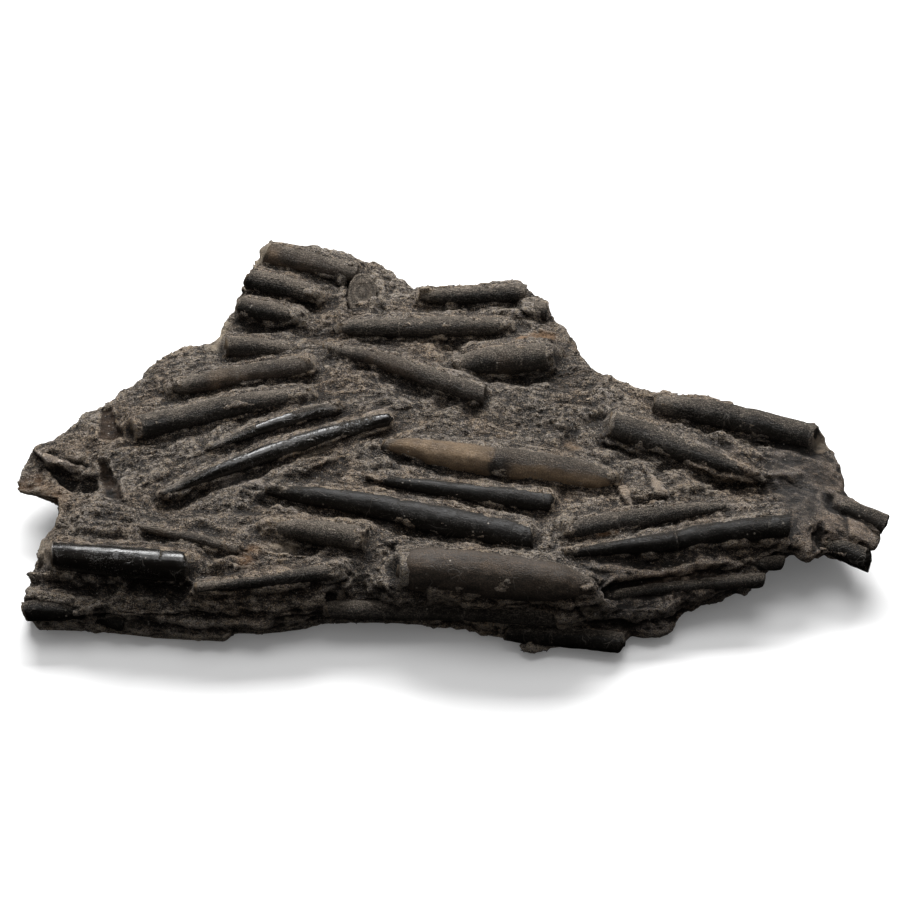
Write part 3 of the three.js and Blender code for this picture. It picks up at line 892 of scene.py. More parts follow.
calciteLook = {
    # scales of each noise along and across the guard
    "longGrain": (60.0, 520.0, 520.0),
    "cloud": (90.0, 150.0, 150.0),
    "splinter": (900.0, 260.0, 260.0),
    "tones": [
        (0.0, (0.0058, 0.0049, 0.0040)),
        (0.30, (0.021, 0.0180, 0.0148)),
        (0.55, (0.062, 0.046, 0.034)),
        (0.80, (0.150, 0.105, 0.066)),
        (1.0, (0.26, 0.185, 0.115)),
    ],
    # colours of the rock dust, which also paint the lighter top side
    "dustAndLitTop": [
        (0.20, (0.030, 0.0250, 0.0200)),
        (0.50, (0.112, 0.0930, 0.0745)),
        (0.85, (0.34, 0.290, 0.235)),
    ],
    "break": [(0.25, (0.035, 0.027, 0.020)), (0.75, (0.16, 0.12, 0.08))],
    "hair": (0.24, 0.215, 0.185),
    "speck": (0.38, 0.34, 0.29),
    "speckScale": 330.0,
    "speckEdge": (0.20, 0.08),
    "patchScale": 90.0,
    "patchEdge": (0.54, 0.66),
    # shares of each pattern in the tone; fine grain and grit count for more on a dull skin
    "cloudTone": 0.45, "longTone": 0.35, "fineTone": 0.35, "fineDull": 0.35, "gritTone": 0.25,
    "gritDull": 0.45,
    # shares of each in where the dust and the painted lighter top lie
    "cloudDust": 0.6, "fineDust": 0.8, "gritDust": 0.7, "fibreDust": 0.9, "dustEdge": (0.08, 0.95),
    "dustCover": 0.95, "hairCover": 0.28, "speckCover": 0.8,
    # shares of each in the height
    "longHigh": 0.16, "cloudHigh": 0.2, "fineHigh": 0.8, "gritHigh": 0.6, "fibreHigh": 0.8,
    "speckHigh": 0.3, "hairHigh": 0.25,
    "height": 0.0011,
}

# gloss is the polish of the skin, the next value is how much paler its upper side is, from dust and
# painted light, lumps are in millimetres and uneven is in metres
skinLook = {
    "glossy": {"finish": "polishedCalcite", "gloss": 0.95, "topDustAndLight": 0.16, "lumps": 0.12, "uneven": 0.0006},
    "satin": {"finish": "satinCalcite", "gloss": 0.42, "topDustAndLight": 0.50, "lumps": 0.24, "uneven": 0.0013},
    "dull": {"finish": "dullCalcite", "gloss": 0.15, "topDustAndLight": 0.66, "lumps": 0.24, "uneven": 0.0013},
}


def guardFinish(look, name, gloss):
    # calcite of a guard: dark, with a long grain, a thin dull film of rock with a painted lighter top, and
    # pale hairlines
    finish = Finish(name)
    skin = finish.attribute("skin", out="Vector")
    tone, film, broken, lean = [finish.attribute(part) for part in ("tone", "film", "broken", "lean")]
    spot = finish.node("ShaderNodeTexCoord", out="Object")
    longGrain = finish.noise(finish.place(skin, look["longGrain"]), 1.0, 3.0, 0.6)
    cloud = finish.noise(finish.place(skin, look["cloud"]), 1.0, 4.0, 0.6)
    splinter = finish.noise(finish.place(skin, look["splinter"]), 1.0, 3.0, 0.6)
    fine, grit, fibre = grainOf(finish, spot, lean)
    coarse = 1 - gloss
    shade = (tone + (cloud - 0.5) * look["cloudTone"] + (longGrain - 0.5) * look["longTone"]
             + (fine - 0.5) * (look["fineTone"] + look["fineDull"] * coarse)
             + (grit - 0.5) * (look["gritTone"] + look["gritDull"] * coarse))
    base = finish.ramp(shade.clamp(), look["tones"])
    # pale hairline scratches that wander over the skin
    line = finish.cells(bentBy(finish, spot, 70.0, 0.5, 0.012), 95.0, "DISTANCE_TO_EDGE")
    hair = line.step(0.018, 0.004) * finish.noise(spot, 120.0).step(0.5, 0.62)
    # where the dust lies, with the painted lighter top side in it
    spread = (film + (cloud - 0.5) * look["cloudDust"] + (fine - 0.5) * look["fineDust"]
              + (grit - 0.5) * look["gritDust"] + (fibre - 0.5) * look["fibreDust"])
    dustAndLitTop = spread.step(*look["dustEdge"])
    dustAndLitTopTone = 0.46 + (fine - 0.5) + (grit - 0.5) * 0.9 + (fibre - 0.5) * 0.9
    dustAndLitTopTone = finish.ramp(dustAndLitTopTone.clamp(), look["dustAndLitTop"])
    base = finish.blend(dustAndLitTop * look["dustCover"], base, dustAndLitTopTone)
    base = finish.blend(hair * look["hairCover"], base, look["hair"])
    speck = specksOf(finish, spot, look)
    base = finish.blend(speck * look["speckCover"], base, look["speck"])
    base = finish.blend(broken, base, finish.ramp(splinter, look["break"]))
    grain = fine * look["fineHigh"] + grit * look["gritHigh"] + fibre * look["fibreHigh"]
    grain = grain * (dustAndLitTop + 0.03 + 0.33 * coarse)
    height = (longGrain * look["longHigh"] + cloud * look["cloudHigh"] + grain + splinter * broken
              + speck * look["speckHigh"] - hair * look["hairHigh"])
    rough = dustAndLitTop * 0.26 + broken * 0.3 + (cloud - 0.5) * 0.25 + (0.58 - 0.36 * gloss) + (fine - 0.5) * 0.2
    return finish.surface({
        "Base Color": base,
        "Roughness": rough.clamp(),
        "Specular IOR Level": 0.19 + 0.36 * gloss ** 3,
        "Normal": finish.bump(height, 0.8, look["height"]),
    })


marl = matrixFinish(marlLook)
guardSkins = {key: guardFinish(calciteLook, look["finish"], look["gloss"])
              for key, look in skinLook.items()}
print("finishes ready")


def guardTree():
    # a tube along the axis, as thick as each point's girth, gently uneven
    group = Group("guardSpindle", {"Sides": "Int", "Unevenness": "Float", "Unevenness Size": "Float",
                                   "Seed": "Float"})
    given = group.given
    path = group.node("GeometryNodeMeshToCurve", None, {"Mesh": given.other("Geometry")})
    ring = group.node("GeometryNodeCurvePrimitiveCircle", {"mode": "RADIUS"},
                      {"Resolution": given.other("Sides"), "Radius": 1.0}, out="Curve")
    ring = group.stored(ring, "turn", group.node("GeometryNodeSplineParameter", out="Factor"))
    tube = group.node("GeometryNodeCurveToMesh", None,
                      {"Curve": path, "Profile Curve": ring, "Scale": group.named("girth"),
                       "Fill Caps": True})
    shift = group.node("ShaderNodeCombineXYZ", None, {"X": given.other("Seed")})
    spot = group.vectors("ADD", group.node("GeometryNodeInputPosition"), shift)
    wave = group.noise(spot, 1.0 / given.other("Unevenness Size"), 2.0)
    push = group.scaled(group.node("GeometryNodeInputNormal"), (wave - 0.5) * given.other("Unevenness"))
    tube = group.node("GeometryNodeSetPosition", None, {"Geometry": tube, "Offset": push})
    return group.close(group.node("GeometryNodeSetShadeSmooth", None, {"Geometry": tube}))


spindle = guardTree()

# millimetres
guardLook = {
    "step": 0.8,            # between rings
    "facet": 0.85,          # between points round a ring
    "uneven": 9,            # size of the unevenness
    "crackWide": 0.35,
    "crackDeep": 0.35,
    "crackStep": 0.12,      # the skin is lower beyond a crack
    "chip": 0.9,            # chips at the ends
    "tilt": 0.32,           # slant of the broken ends, as a share of the radius
    "hackle": 0.7,
    "hackleSize": 2.4,
}


def stationsAlong(middles, radii, hollow=0.0, rounded=(0, 0)):
    # evenly spaced rings along the measured axis, with each end closed by rings of its own
    lengths = np.concatenate([[0], np.cumsum(np.linalg.norm(np.diff(middles, axis=0), axis=1))])
    count = max(8, int(lengths[-1] / guardLook["step"]))
    along = np.linspace(0, lengths[-1], count)

    def curve(values):
        # a smooth run through the measured values
        wide = np.interp(along, lengths, values)
        kernel = np.hanning(9)
        padded = np.concatenate([2 * wide[0] - wide[4:0:-1], wide, 2 * wide[-1] - wide[-2:-6:-1]])
        return np.convolve(padded, kernel / kernel.sum(), "valid")

    places = np.stack([curve(middles[:, k]) for k in range(3)], 1)
    girths = np.interp(along, lengths, radii)
    inner = curve(radii)
    girths[3:-3] = inner[3:-3]
    for end, length in zip((along, lengths[-1] - along), rounded):
        if length:
            missing = np.clip(1 - end / length, 0, 0.93)
            girths = girths * np.sqrt(1 - missing ** 2)
    caps = [(0.12, 0.995), (0.35, 0.93), (0.5, 0.72), (0.56, 0.4), (0.58, 0.06)]
    start = places[0] - places[1]
    start /= np.linalg.norm(start)
    end = places[-1] - places[-2]
    end /= np.linalg.norm(end)
    mouth = [(0.12, 0.97), (0.0, 0.86), (-0.5 * hollow, 0.70), (-0.85 * hollow, 0.4), (-hollow, 0.06)]
    opening = mouth if hollow else caps
    before = [(places[0] + start * out, girths[0] * share, -abs(out)) for out, share in reversed(opening)]
    after = [(places[-1] + end * out, girths[-1] * share, along[-1] + out) for out, share in caps]
    rings = before + list(zip(places, girths, along)) + after
    points, sizes, marks = [np.array(column) for column in zip(*rings)]
    return points, sizes, marks


# shares of film and of tan that each cause brings
filmLook = {
    "start": -0.20,
    "patches": 0.22,
    "mottle": 0.10,
    "ends": 0.35,           # toward the buried ends
    "seam": 0.40,           # where the rock meets the skin
    "tanFilm": -0.12,
    "tanTone": 0.24,
    "shineFilm": -0.22,     # on a polished stretch
    "shineEnds": 0.34,      # to either side of it
}

# a guard that is tan up to a crack, and darker above a tan underside beyond it
halfTanLook = {
    "tone": 0.44,
    "light": 0.38,
    "low": 0.38,
    "mottle": 0.22,
    "lightFilm": -0.06,
    "darkFilm": 0.18,
    "lowFilm": -0.30,
}


def filmAndLitTopOf(name, number, spots, normals, along, whole, clear):
    # the film of rock dust on a guard with its painted lighter top side, and how tan its stone is, from 0 to
    # 1
    spec = guardSpecs[name]
    look = filmLook
    share = along / whole
    tone = spec["tone"] + look["mottle"] * lumps(spots, 22.0, number + 3)
    # the side facing up and toward the lamps at the back is paler: partly dust, partly painted light
    upper = smooth(normals[:, 2] + 0.8 * normals[:, 1], -0.2, 1.2)
    film = spec["film"] + look["start"] + skinLook[spec["skin"]]["topDustAndLight"] * upper ** 1.5
    film = film + look["patches"] * lumps(spots, 9.0, number + 7, 3)
    if "tan" in spec:
        start, end = spec["tan"]
        warm = smooth(share, start - 0.08, start + 0.02) * smooth(end + 0.08 - share, 0, 0.2)
        warm = warm * smooth(lumps(spots, 8.0, number + 51, 2), -0.5, 0.3)
        film = film + look["tanFilm"] * warm
        tone = tone + look["tanTone"] * warm
    if "shine" in spec:
        start, end = spec["shine"]
        film = film + look["shineFilm"] * smooth(share, start - 0.02, start) * smooth(end - share, 0, 0.05)
        film = film + look["shineEnds"] * (1 - smooth(share, start - 0.02, start + 0.01)) * upper
        film = film + look["shineEnds"] * smooth(share, end - 0.03, end + 0.06) * upper
    for end, bury in zip((along, whole - along), spec.get("bury", (0, 0))):
        film = film + look["ends"] * (1 - smooth(end, bury * 0.6, bury * 2.2 + 0.1))
    film = film + look["seam"] * smooth(0.35 - clear, 0, 0.5) * smooth(normals[:, 2], -0.1, 0.3)
    if "light" in spec:
        look = halfTanLook
        light = 1 - smooth(share + 0.03 * lumps(spots, 4, 3), spec["light"] - 0.01, spec["light"] + 0.01)
        low = smooth(-normals[:, 2] - normals[:, 1] * 0.6, -0.75, 0.0) * smooth(share, 0.5, 0.58)
        low = low * (1 - light)
        tone = look["tone"] + look["light"] * light + look["low"] * low
        tone = tone + look["mottle"] * lumps(spots, 7.0, 4, 2)
        film = film + look["lightFilm"] * light + look["darkFilm"] * (1 - light) + look["lowFilm"] * low
    return film, tone


def reliefOf(name, number, spots, along, whole, radius, angle):
    # how far the skin moves out and along the guard, with its chips and pale veins
    spec = guardSpecs[name]
    push = np.zeros(len(spots))
    vein = np.zeros(len(spots))
    for crack in spec.get("cracks", []):
        wander = 0.8 * lumps(spots, 3.0, number + 11) + 1.4 * lumps(spots, 9.0, number + 5)
        away = along - crack * whole + wander
        push -= guardLook["crackDeep"] * np.exp(-(away / guardLook["crackWide"]) ** 2)
        push -= guardLook["crackStep"] * smooth(away, 0, 0.4) * smooth(6 - away, 0, 5)
        seen = smooth(lumps(spots, 5.0, number + 21), -0.3, 0.4)
        vein = np.maximum(vein, np.exp(-((away + 0.55) / 0.28) ** 2) * seen)
    push += skinLook[spec["skin"]]["lumps"] * lumps(spots, 4.5, number + 2, 3)
    ends = np.minimum(along, whole - along)
    chip = smooth(lumps(spots, 4.5, number + 9), 0.15, 0.7)
    chip *= smooth(3.5 - ends, 0, 3) * smooth(radius, 1.5, 3)
    push -= guardLook["chip"] * chip
    # the broken ends are tilted and hackly
    tilt = guardLook["tilt"] * radius * np.cos(angle + 1.7 * number) * smooth(6 - ends, 0, 6)
    hackle = guardLook["hackle"] * lumps(spots, guardLook["hackleSize"], number + 31, 3)
    hackle = hackle * smooth(1.2 - ends, 0, 0.9)
    return push, (tilt + hackle) * smooth(radius, 1.4, 2.6), chip, vein


def makeGuard(name, number):
    spec = guardSpecs[name]
    look = skinLook[spec["skin"]]
    points, sizes, marks = stationsAlong(*axes[name], spec.get("hollow", 0.0), spec.get("rounded", (0, 0)))
    line = bpy.data.meshes.new(name + "Axis")
    line.from_pydata([tuple(p / 1000) for p in points], [(i, i + 1) for i in range(len(points) - 1)], [])
    paint(line, "girth", sizes / 1000)
    paint(line, "along", marks / 1000)
    sides = int(np.clip(round(2 * math.pi * sizes.max() / guardLook["facet"]), 24, 64))
    mesh = spindle.grown(line, name + "Skin", {
        "Sides": sides, "Unevenness": look["uneven"], "Unevenness Size": guardLook["uneven"] / 1000,
        "Seed": 0.37 * number, "Skin": guardSkins[spec["skin"]]})

    spots = pointsOf(mesh) * 1000
    normals = normalsOf(mesh)
    along = valuesOf(mesh, "along") * 1000
    angle = valuesOf(mesh, "turn") * 2 * math.pi
    whole = marks.max() - marks.min()
    radius = np.interp(along, marks, sizes)
    push, slip, chip, vein = reliefOf(name, number, spots, along, whole, radius, angle)
    course = axes[name][0][-1] - axes[name][0][0]
    course = course / np.linalg.norm(course)
    movePoints(mesh, (spots + normals * push[:, None] + course * slip[:, None]) / 1000)

    place = {"along": along, "whole": whole, "radius": radius, "past": np.zeros(len(spots)),
             "across": acrossGuard(spots, *axes[name])}
    clear = bareness(name, place, spots)
    film, tone = filmAndLitTopOf(name, number, spots, normals, along, whole, clear)
    paint(mesh, "tone", np.clip(tone, 0, 1))
    paint(mesh, "film", np.clip(film + 0.5 * chip + 0.7 * vein, 0, 1))
    ends = np.minimum(along, whole - along)
    paint(mesh, "broken", smooth(0.5 - ends, 0.0, 0.5) * smooth(radius, 0.8, 1.6))
    paint(mesh, "lean", np.full(len(spots), leanOf(course[None, :])[0]))
    paint(mesh, "skin", np.stack([along, radius * np.cos(angle), radius * np.sin(angle)], 1) / 1000)
    pieceFrom(mesh, name + "_stone", guardSkins[spec["skin"]], slots[name], name)
    return len(mesh.polygons)


slots = {entry["node"]: entry["material_slot"] for entry in frame["record"]["subparts"]}
faces = sum(makeGuard(name, number) for number, name in enumerate(guardNames))
print("guards made:", faces, "faces")


# the guard that dives into the rock, in millimetres
divingLook = {
    "voxel": 0.6,
    "ahead": 0.45,          # it reaches this much further to the front than its solid does
    "wide": 7.7,            # half sizes of its oval face
    "deep": 11.5,
    "front": 4,             # the face's middle lies this far to the front
    "rings": 0.26,
    "fibres": 0.20,
    "dome": 0.9,
    "rim": 1.5,             # fall of the face at its rim
    "lumps": 0.45,
    "tone": 0.44,
    "film": 0.62,
}


def makeDiving(name, look):
    mesh = remeshed(mergedMesh(nodes[name], "diving"), look["voxel"] / 1000, "divingSkin")
    spots = pointsOf(mesh) * 1000
    normals = normalsOf(mesh)
    low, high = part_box(name)
    middle = [(low[k] + high[k]) * 500 for k in range(2)]
    spots[:, 1] += look["ahead"] * np.minimum(spots[:, 1] - middle[1], 0)
    face = smooth(normals[:, 2], 0.75, 0.93)
    x, y = spots[:, 0] - middle[0], spots[:, 1] - middle[1]
    reach = np.hypot(x / look["wide"], (y + look["front"]) / look["deep"])
    rings = np.sin(reach * 17 + 1.2 * lumps(spots, 5, 4))
    fibres = lumps(np.stack([np.arctan2(y, x) * 14, reach * 2, spots[:, 2] * 0], 1), 1.0, 8)
    push = face * (look["rings"] * rings + look["fibres"] * fibres) + look["lumps"] * lumps(spots, 4.0, 2, 3)
    push += face * look["dome"] * (1 - np.minimum(reach, 1.1) ** 2) - look["rim"] * smooth(reach, 0.7, 1.15)
    movePoints(mesh, (spots + normals * push[:, None]) / 1000)
    paint(mesh, "tone", np.clip(look["tone"] + 0.12 * rings * face, 0, 1))
    film = look["film"] + 0.35 * lumps(spots, 5, 3) + 0.18 * rings * face + 0.5 * smooth(reach, 0.6, 1.0)
    paint(mesh, "film", np.clip(film, 0, 1))
    paint(mesh, "broken", face * 0.1)
    paint(mesh, "lean", np.zeros(len(spots)))
    paint(mesh, "skin", spots / 1000)
    pieceFrom(mesh, name + "_stone", guardSkins["dull"], "calcite_grey", name)
    print("diving guard made:", len(mesh.polygons), "faces")


makeDiving("guard_on_end", divingLook)


rockSpec = {
    "formVoxel": 0.0011,    # metres
    "voxel": 0.00078,
    "triangles": 196000,
    # relief: height and size in millimetres
    "broad": (0.55, 9.0),
    "middle": (0.80, 4.5),
    "fine": (0.34, 2.0),
    "streaks": (0.62, (12, 2.0, 2.0)),      # drawn out along the guards
    "threads": (0.34, (7, 1.05, 1.05)),     # the same, finer
    "ledges": (1.90, (16, 5.0, 5.0)),       # small steps along the guards
    "beds": (2.6, 4.2),                     # layering of the broken edge
    "chunks": (2.2, 7.0),                   # lumps of it
    "crumbs": (1.1, 2.4),                   # single grains that stand up
    "seat": 0.45,           # how far the rock reaches under a guard's skin
    # what stands up is paler and what lies low darker, as worn dust, painted light and painted shade: shares
    # of fine and of broad relief in the tone
    "stands": 1.1,
    "swells": 0.35,
    # how dark and how slick the broken edge, the right tip and the right front are; the tip's and the
    # front's dark is painted shade where they slope away from the light
    "wallDark": 0.22,
    "tipShade": 0.42,
    "frontShade": 0.62,
    "slick": 0.45,
    "tip": (122, 146),      # where along the slab it comes in
    "front": (40, 70),
    "frontDeep": (72, 86),
}


def streaks(points, heading, size, seed, ledges=0):
    # noise drawn out along the neighbouring guards, blended between fixed directions
    angle = np.degrees(np.arctan2(heading[:, 1], heading[:, 0]))
    angle = (angle + 90) % 180 - 90
    total = np.zeros(len(points))
    weights = np.zeros(len(points))
    for course in (-32, -16, 0, 16, 32):
        weight = np.clip(1 - np.abs(angle - course) / 16, 0, 1)
        weight = np.maximum(weight, 1e-3)
        c, s = math.cos(math.radians(course)), math.sin(math.radians(course))
        turned = np.stack([points[:, 0] * c + points[:, 1] * s, points[:, 1] * c - points[:, 0] * s,
                           points[:, 2]], 1)
        value = lumps(turned, size, seed + course + 50, 2, 0.7)
        if ledges:
            # flat treads with short rises between them
            stair = value * ledges
            value = (np.floor(stair) + smooth(stair - np.floor(stair), 0.7, 1.0)) / ledges
        total += weight * value
        weights += weight
    return total / weights


def spread(values, known, edges, rounds):
    # fills the unknown values from their neighbours
    values = values.copy()
    ends = np.concatenate([edges[:, 0], edges[:, 1]])
    others = np.concatenate([edges[:, 1], edges[:, 0]])
    count = np.maximum(np.bincount(ends, minlength=len(values)), 1)
    for _ in range(rounds):
        mean = np.bincount(ends, weights=values[others], minlength=len(values)) / count
        values = np.where(known, values, mean)
    return values


def eased(points, edges, rounds):
    # every point moved to the middle of its neighbours, a number of times
    free = np.zeros(len(points), bool)
    return np.stack([spread(points[:, k], free, edges, rounds) for k in range(3)], 1)


def erode(mask, edges, rounds):
    mask = mask.copy()
    for _ in range(rounds):
        rim = edges[mask[edges[:, 0]] != mask[edges[:, 1]]]
        mask[rim.ravel()] = False
    return mask


# single features of the rock, in millimetres: raised or sunk along a path or inside an outline;
# slick is smooth, pale and rust are colour, dark is painted shade in cracks, holes, hollows and steps
rockMarks = {
    # shadows and ends beside the guards
    "flakeShade": {"path": [(69, -41, 31), (74, -56, 34)], "wide": 0.7, "lift": -0.9, "dark": 0.8},
    "flakeShadeTwo": {"path": [(83, -33, 30), (84, -49, 33)], "wide": 0.6, "lift": -0.7, "dark": 0.6},
    "stubBlend": {"path": [(-35, 98, 34), (-32, 81, 35), (-35, 65, 35)], "wide": 2.8, "lift": 1.8},
    "stubStep": {"path": [(-48, 84, 29), (-44, 74, 35), (-36, 73, 36)], "wide": 0.8, "lift": -0.6,
                 "dark": 0.4},
    "stubBank": {"path": [(-49, 87, 31), (-48, 80, 27), (-47, 73, 30)], "wide": 2.6, "lift": 3.0},
    "stubFoot": {"path": [(-48, 68, 33), (-40, 62, 35)], "wide": 0.8, "lift": -1.0, "dark": 0.6},
    "runBackTwo": {"path": [(-65, 74, 38), (-58, 74, 36)], "wide": 3.0, "lift": 1.6},
    "runBackThree": {"path": [(-72, 60, 37), (-65, 58, 35)], "wide": 2.6, "lift": 1.4},
    "runOpen": {"path": [(104, -27, 36), (125, -35, 33)], "wide": 4.0, "lift": 2.0, "slick": 0.35},
    "runTapering": {"path": [(114, -54, 32), (124, -52, 32)], "wide": 2.5, "lift": 1.0, "slick": 0.3},
    "runCurved": {"path": [(12, 9, 35), (16, 12, 32)], "wide": 3.0, "lift": 1.2},
    "runStout": {"path": [(56, -102, 34), (60, -100, 30)], "wide": 4.0, "lift": 1.6},
    "behindRight": {"path": [(97, 16, 31), (108, 5, 37), (143, 1, 32), (152, -8, 36)], "wide": 4.5,
                    "lift": -2.6},
    # the mouth of the hollow guard, darkened with painted shade
    "openArc": {"path": [(66, 5, 34), (70, -2, 36), (70, -9, 38), (66, -10, 30)], "wide": 0.9,
                "lift": -1.8, "dark": 0.9},
    "openShell": {"path": [(65, 4, 34), (68, -3, 33), (65, -8, 30)], "wide": 1.1, "lift": 0.8,
                  "pale": 0.15},
    # prints of guards that fell out, and their edges, with painted shade in the groove and beside the slab
    # end
    "tipCurve": {"path": [(-150, -31, 22), (-145, -45, 28)], "wide": 0.6, "lift": 0.5, "pale": 0.5},
    "tipRim": {"path": [(-144, -28, 30), (-137, -47, 31)], "wide": 1.2, "lift": 0.8},
    "mouldRidge": {"path": [(-77, -43, 32), (-62, -22, 30), (-48, -15, 33)], "wide": 1.1, "lift": 1.3,
                   "pale": 0.35},
    "mouldGroove": {"path": [(-71, -36, 31), (-58, -28, 34), (-53, -22, 31)], "wide": 2.6,
                    "lift": -1.4, "dark": 0.35},
    "mouldEdge": {"path": [(-41, -12, 31), (-25, -4, 31)], "wide": 0.6, "lift": 0.9, "pale": 0.3},
    "slabEnd": {"path": [(-36, -1, 35), (-27, 6, 32)], "wide": 2.2, "lift": 1.0, "slick": 0.7},
    "slabShade": {"path": [(-34, -7, 34), (-26, -4, 33)], "wide": 0.9, "lift": -1.3, "dark": 0.8},
    # pale weathered rims
    "leftRim": {"path": [(-100, 60, 31), (-104, 44, 31)], "wide": 2.6, "lift": 0.4, "pale": 1.0},
    "backRim": {"path": [(-81, 101, 40), (-85, 104, 35), (-88, 100, 33)], "wide": 2.4, "lift": 0.3,
                "pale": 1.0},
    # ridges, steps and lumps of the upper face, with painted shade at the dark step
    "railRidge": {"path": [(108, -41, 31), (114, -33, 27), (128, -37, 32), (139, -42, 27)],
                  "wide": 0.9, "lift": 1.0, "pale": 0.3},
    "railTail": {"path": [(108, -41, 30), (109, -47, 30)], "wide": 0.7, "lift": 0.7, "pale": 0.25},
    "plateau": {"path": [(92, -46, 35), (106, -41, 32)], "wide": 1.6, "lift": 1.0, "pale": 0.15},
    "smallLump": {"path": [(0, 22, 38), (8, 26, 35)], "wide": 2.6, "lift": 1.1, "slick": 0.7},
    "darkStepLeft": {"path": [(48, 10, 33), (62, 7, 33)], "wide": 2.4, "lift": -1.6, "dark": 0.45},
    "leafOne": {"path": [(-96, -36, 30), (-89, -34, 28), (-76, -42, 33)], "wide": 2.3, "lift": 0.8,
                "slick": 0.8},
    # cracks and holes, darkened with painted shade
    "leafCrack": {"path": [(-88, -41, 30), (-77, -43, 32)], "wide": 0.6, "lift": -1.0, "dark": 0.85},
    "crackRight": {"path": [(124, -22, 32), (133, -31, 31), (155, -42, 28)], "wide": 0.5,
                   "lift": -0.9, "dark": 0.85},
    "crackEnd": {"path": [(133, -62, 36), (138, -70, 31)], "wide": 0.6, "lift": -1.3, "dark": 0.95},
    "crackShelf": {"path": [(139, -70, 32), (154, -62, 24), (159, -62, 25)], "wide": 0.5,
                   "lift": -1.1, "dark": 0.9},
    "crackUpper": {"path": [(80, 19, 30), (84, 5, 31)], "wide": 0.5, "lift": -0.6, "dark": 0.5},
    "stoutCrack": {"path": [(-13, -85, 40), (5, -89, 41), (17, -91, 41), (44, -98, 39)], "wide": 0.5,
                   "lift": -1.4, "dark": 0.95},
    "stoutCleft": {"path": [(-33, -69, 34), (-24, -77, 31), (-21, -93, 39), (-24, -96, 28)],
                   "wide": 1.0, "lift": -2.0, "dark": 0.9},
    "stoutRim": {"path": [(-36, -76, 35), (-33, -72, 32), (-25, -86, 33), (-33, -93, 22)],
                 "wide": 1.2, "lift": 1.4, "pale": 0.1},
    "slit": {"path": [(-2, 49, 30), (2, 47, 29), (7, 34, 38)], "wide": 0.9, "lift": -2.0,
             "dark": 0.95},
    "backHole": {"path": [(-69, 72, 33), (-61, 73, 32)], "wide": 1.8, "lift": -2.2, "dark": 0.9},
    # veins and bits of shell, and a pit darkened with painted shade
    "veinOne": {"path": [(-65, -84, 29), (-65, -94, 30), (-64, -98, 22)], "wide": 0.4, "lift": 0.2,
                "pale": 0.85},
    "veinTwo": {"path": [(-36, -97, 19), (-28, -98, 19)], "wide": 0.4, "lift": 0.2, "pale": 0.9},
    "hairs": {"path": [(-70, -49, 28), (-63, -52, 29)], "wide": 0.4, "lift": 0.3, "pale": 0.7},
    "shellOne": {"path": [(52, -102, 27), (57, -100, 20)], "wide": 0.5, "lift": 0.9, "pale": 0.9},
    "shellTwo": {"path": [(54, -100, 20), (61, -101, 20)], "wide": 0.5, "lift": 0.9, "pale": 0.8},
    "shellThree": {"path": [(55, -102, 19), (61, -102, 15)], "wide": 0.5, "lift": 0.6, "pale": 0.5},
    "shellPit": {"path": [(51, -102, 26), (56, -101, 13)], "wide": 1.4, "lift": -1.2, "dark": 0.7},
    "whiteOne": {"path": [(-68, -100, 15), (-67, -101, 10)], "wide": 0.4, "lift": 0.4, "pale": 1.0},
    "whiteTwo": {"path": [(-63, -100, 13), (-61, -99, 11)], "wide": 0.4, "lift": 0.4, "pale": 1.0},
    # rusty and tan spots
    "rustBack": {"path": [(31, 44, 38), (38, 50, 34), (45, 50, 33)], "wide": 2.0, "lift": 0.3,
                 "rust": 1.0, "pale": 0.3},
    "rustRight": {"path": [(51, -14, 30), (54, -18, 31)], "wide": 1.7, "lift": 0.3, "rust": 0.7,
                  "pale": 0.4},
    "rustLeft": {"path": [(-82, -77, 30), (-85, -83, 30)], "wide": 3.0, "lift": 0.3, "rust": 0.6},
    "tanLump": {"path": [(-73, -74, 29), (-66, -72, 27)], "wide": 1.9, "lift": 1.1, "pale": 0.6,
                "rust": 0.25, "slick": 0.4},
    "rustStrip": {"path": [(51, -70, 32), (70, -68, 31)], "wide": 0.9, "lift": 0.2, "rust": 0.5},
    "rustTip": {"path": [(-182, -32, 22), (-177, -29, 24), (-165, -41, 24)], "wide": 4.0, "lift": 0.0,
                "rust": 0.35},
    "tanBank": {"path": [(-69, -44, 34), (-62, -46, 35)], "wide": 1.8, "lift": 0.5, "pale": 0.35,
                "rust": 0.2},
    # ledges and hollows of the broken edge, the hollows darkened with painted shade
    "shelfRidge": {"path": [(-157, -100, 16), (-140, -97, 21), (-133, -91, 25)], "wide": 1.3,
                   "lift": 1.8},
    "shelfHollow": {"path": [(-145, -98, 15), (-137, -102, 10)], "wide": 3.0, "lift": -2.4,
                    "slick": 0.6, "dark": 0.7},
    "underHollow": {"path": [(-131, -90, 24), (-109, -94, 26)], "wide": 3.2, "lift": -2.6,
                    "dark": 0.5},
    "wallLedge": {"path": [(-174, -80, 18), (-166, -84, 23), (-156, -87, 25)], "wide": 1.2,
                  "lift": 1.6, "pale": 0.1},
    "wallHollow": {"path": [(-173, -85, 19), (-147, -92, 19)], "wide": 2.2, "lift": -2.2,
                   "dark": 0.6},
    "rustRidge": {"path": [(74, -90, 25), (85, -87, 24), (110, -82, 25)], "wide": 2.2, "lift": 1.4,
                  "rust": 0.12},
}
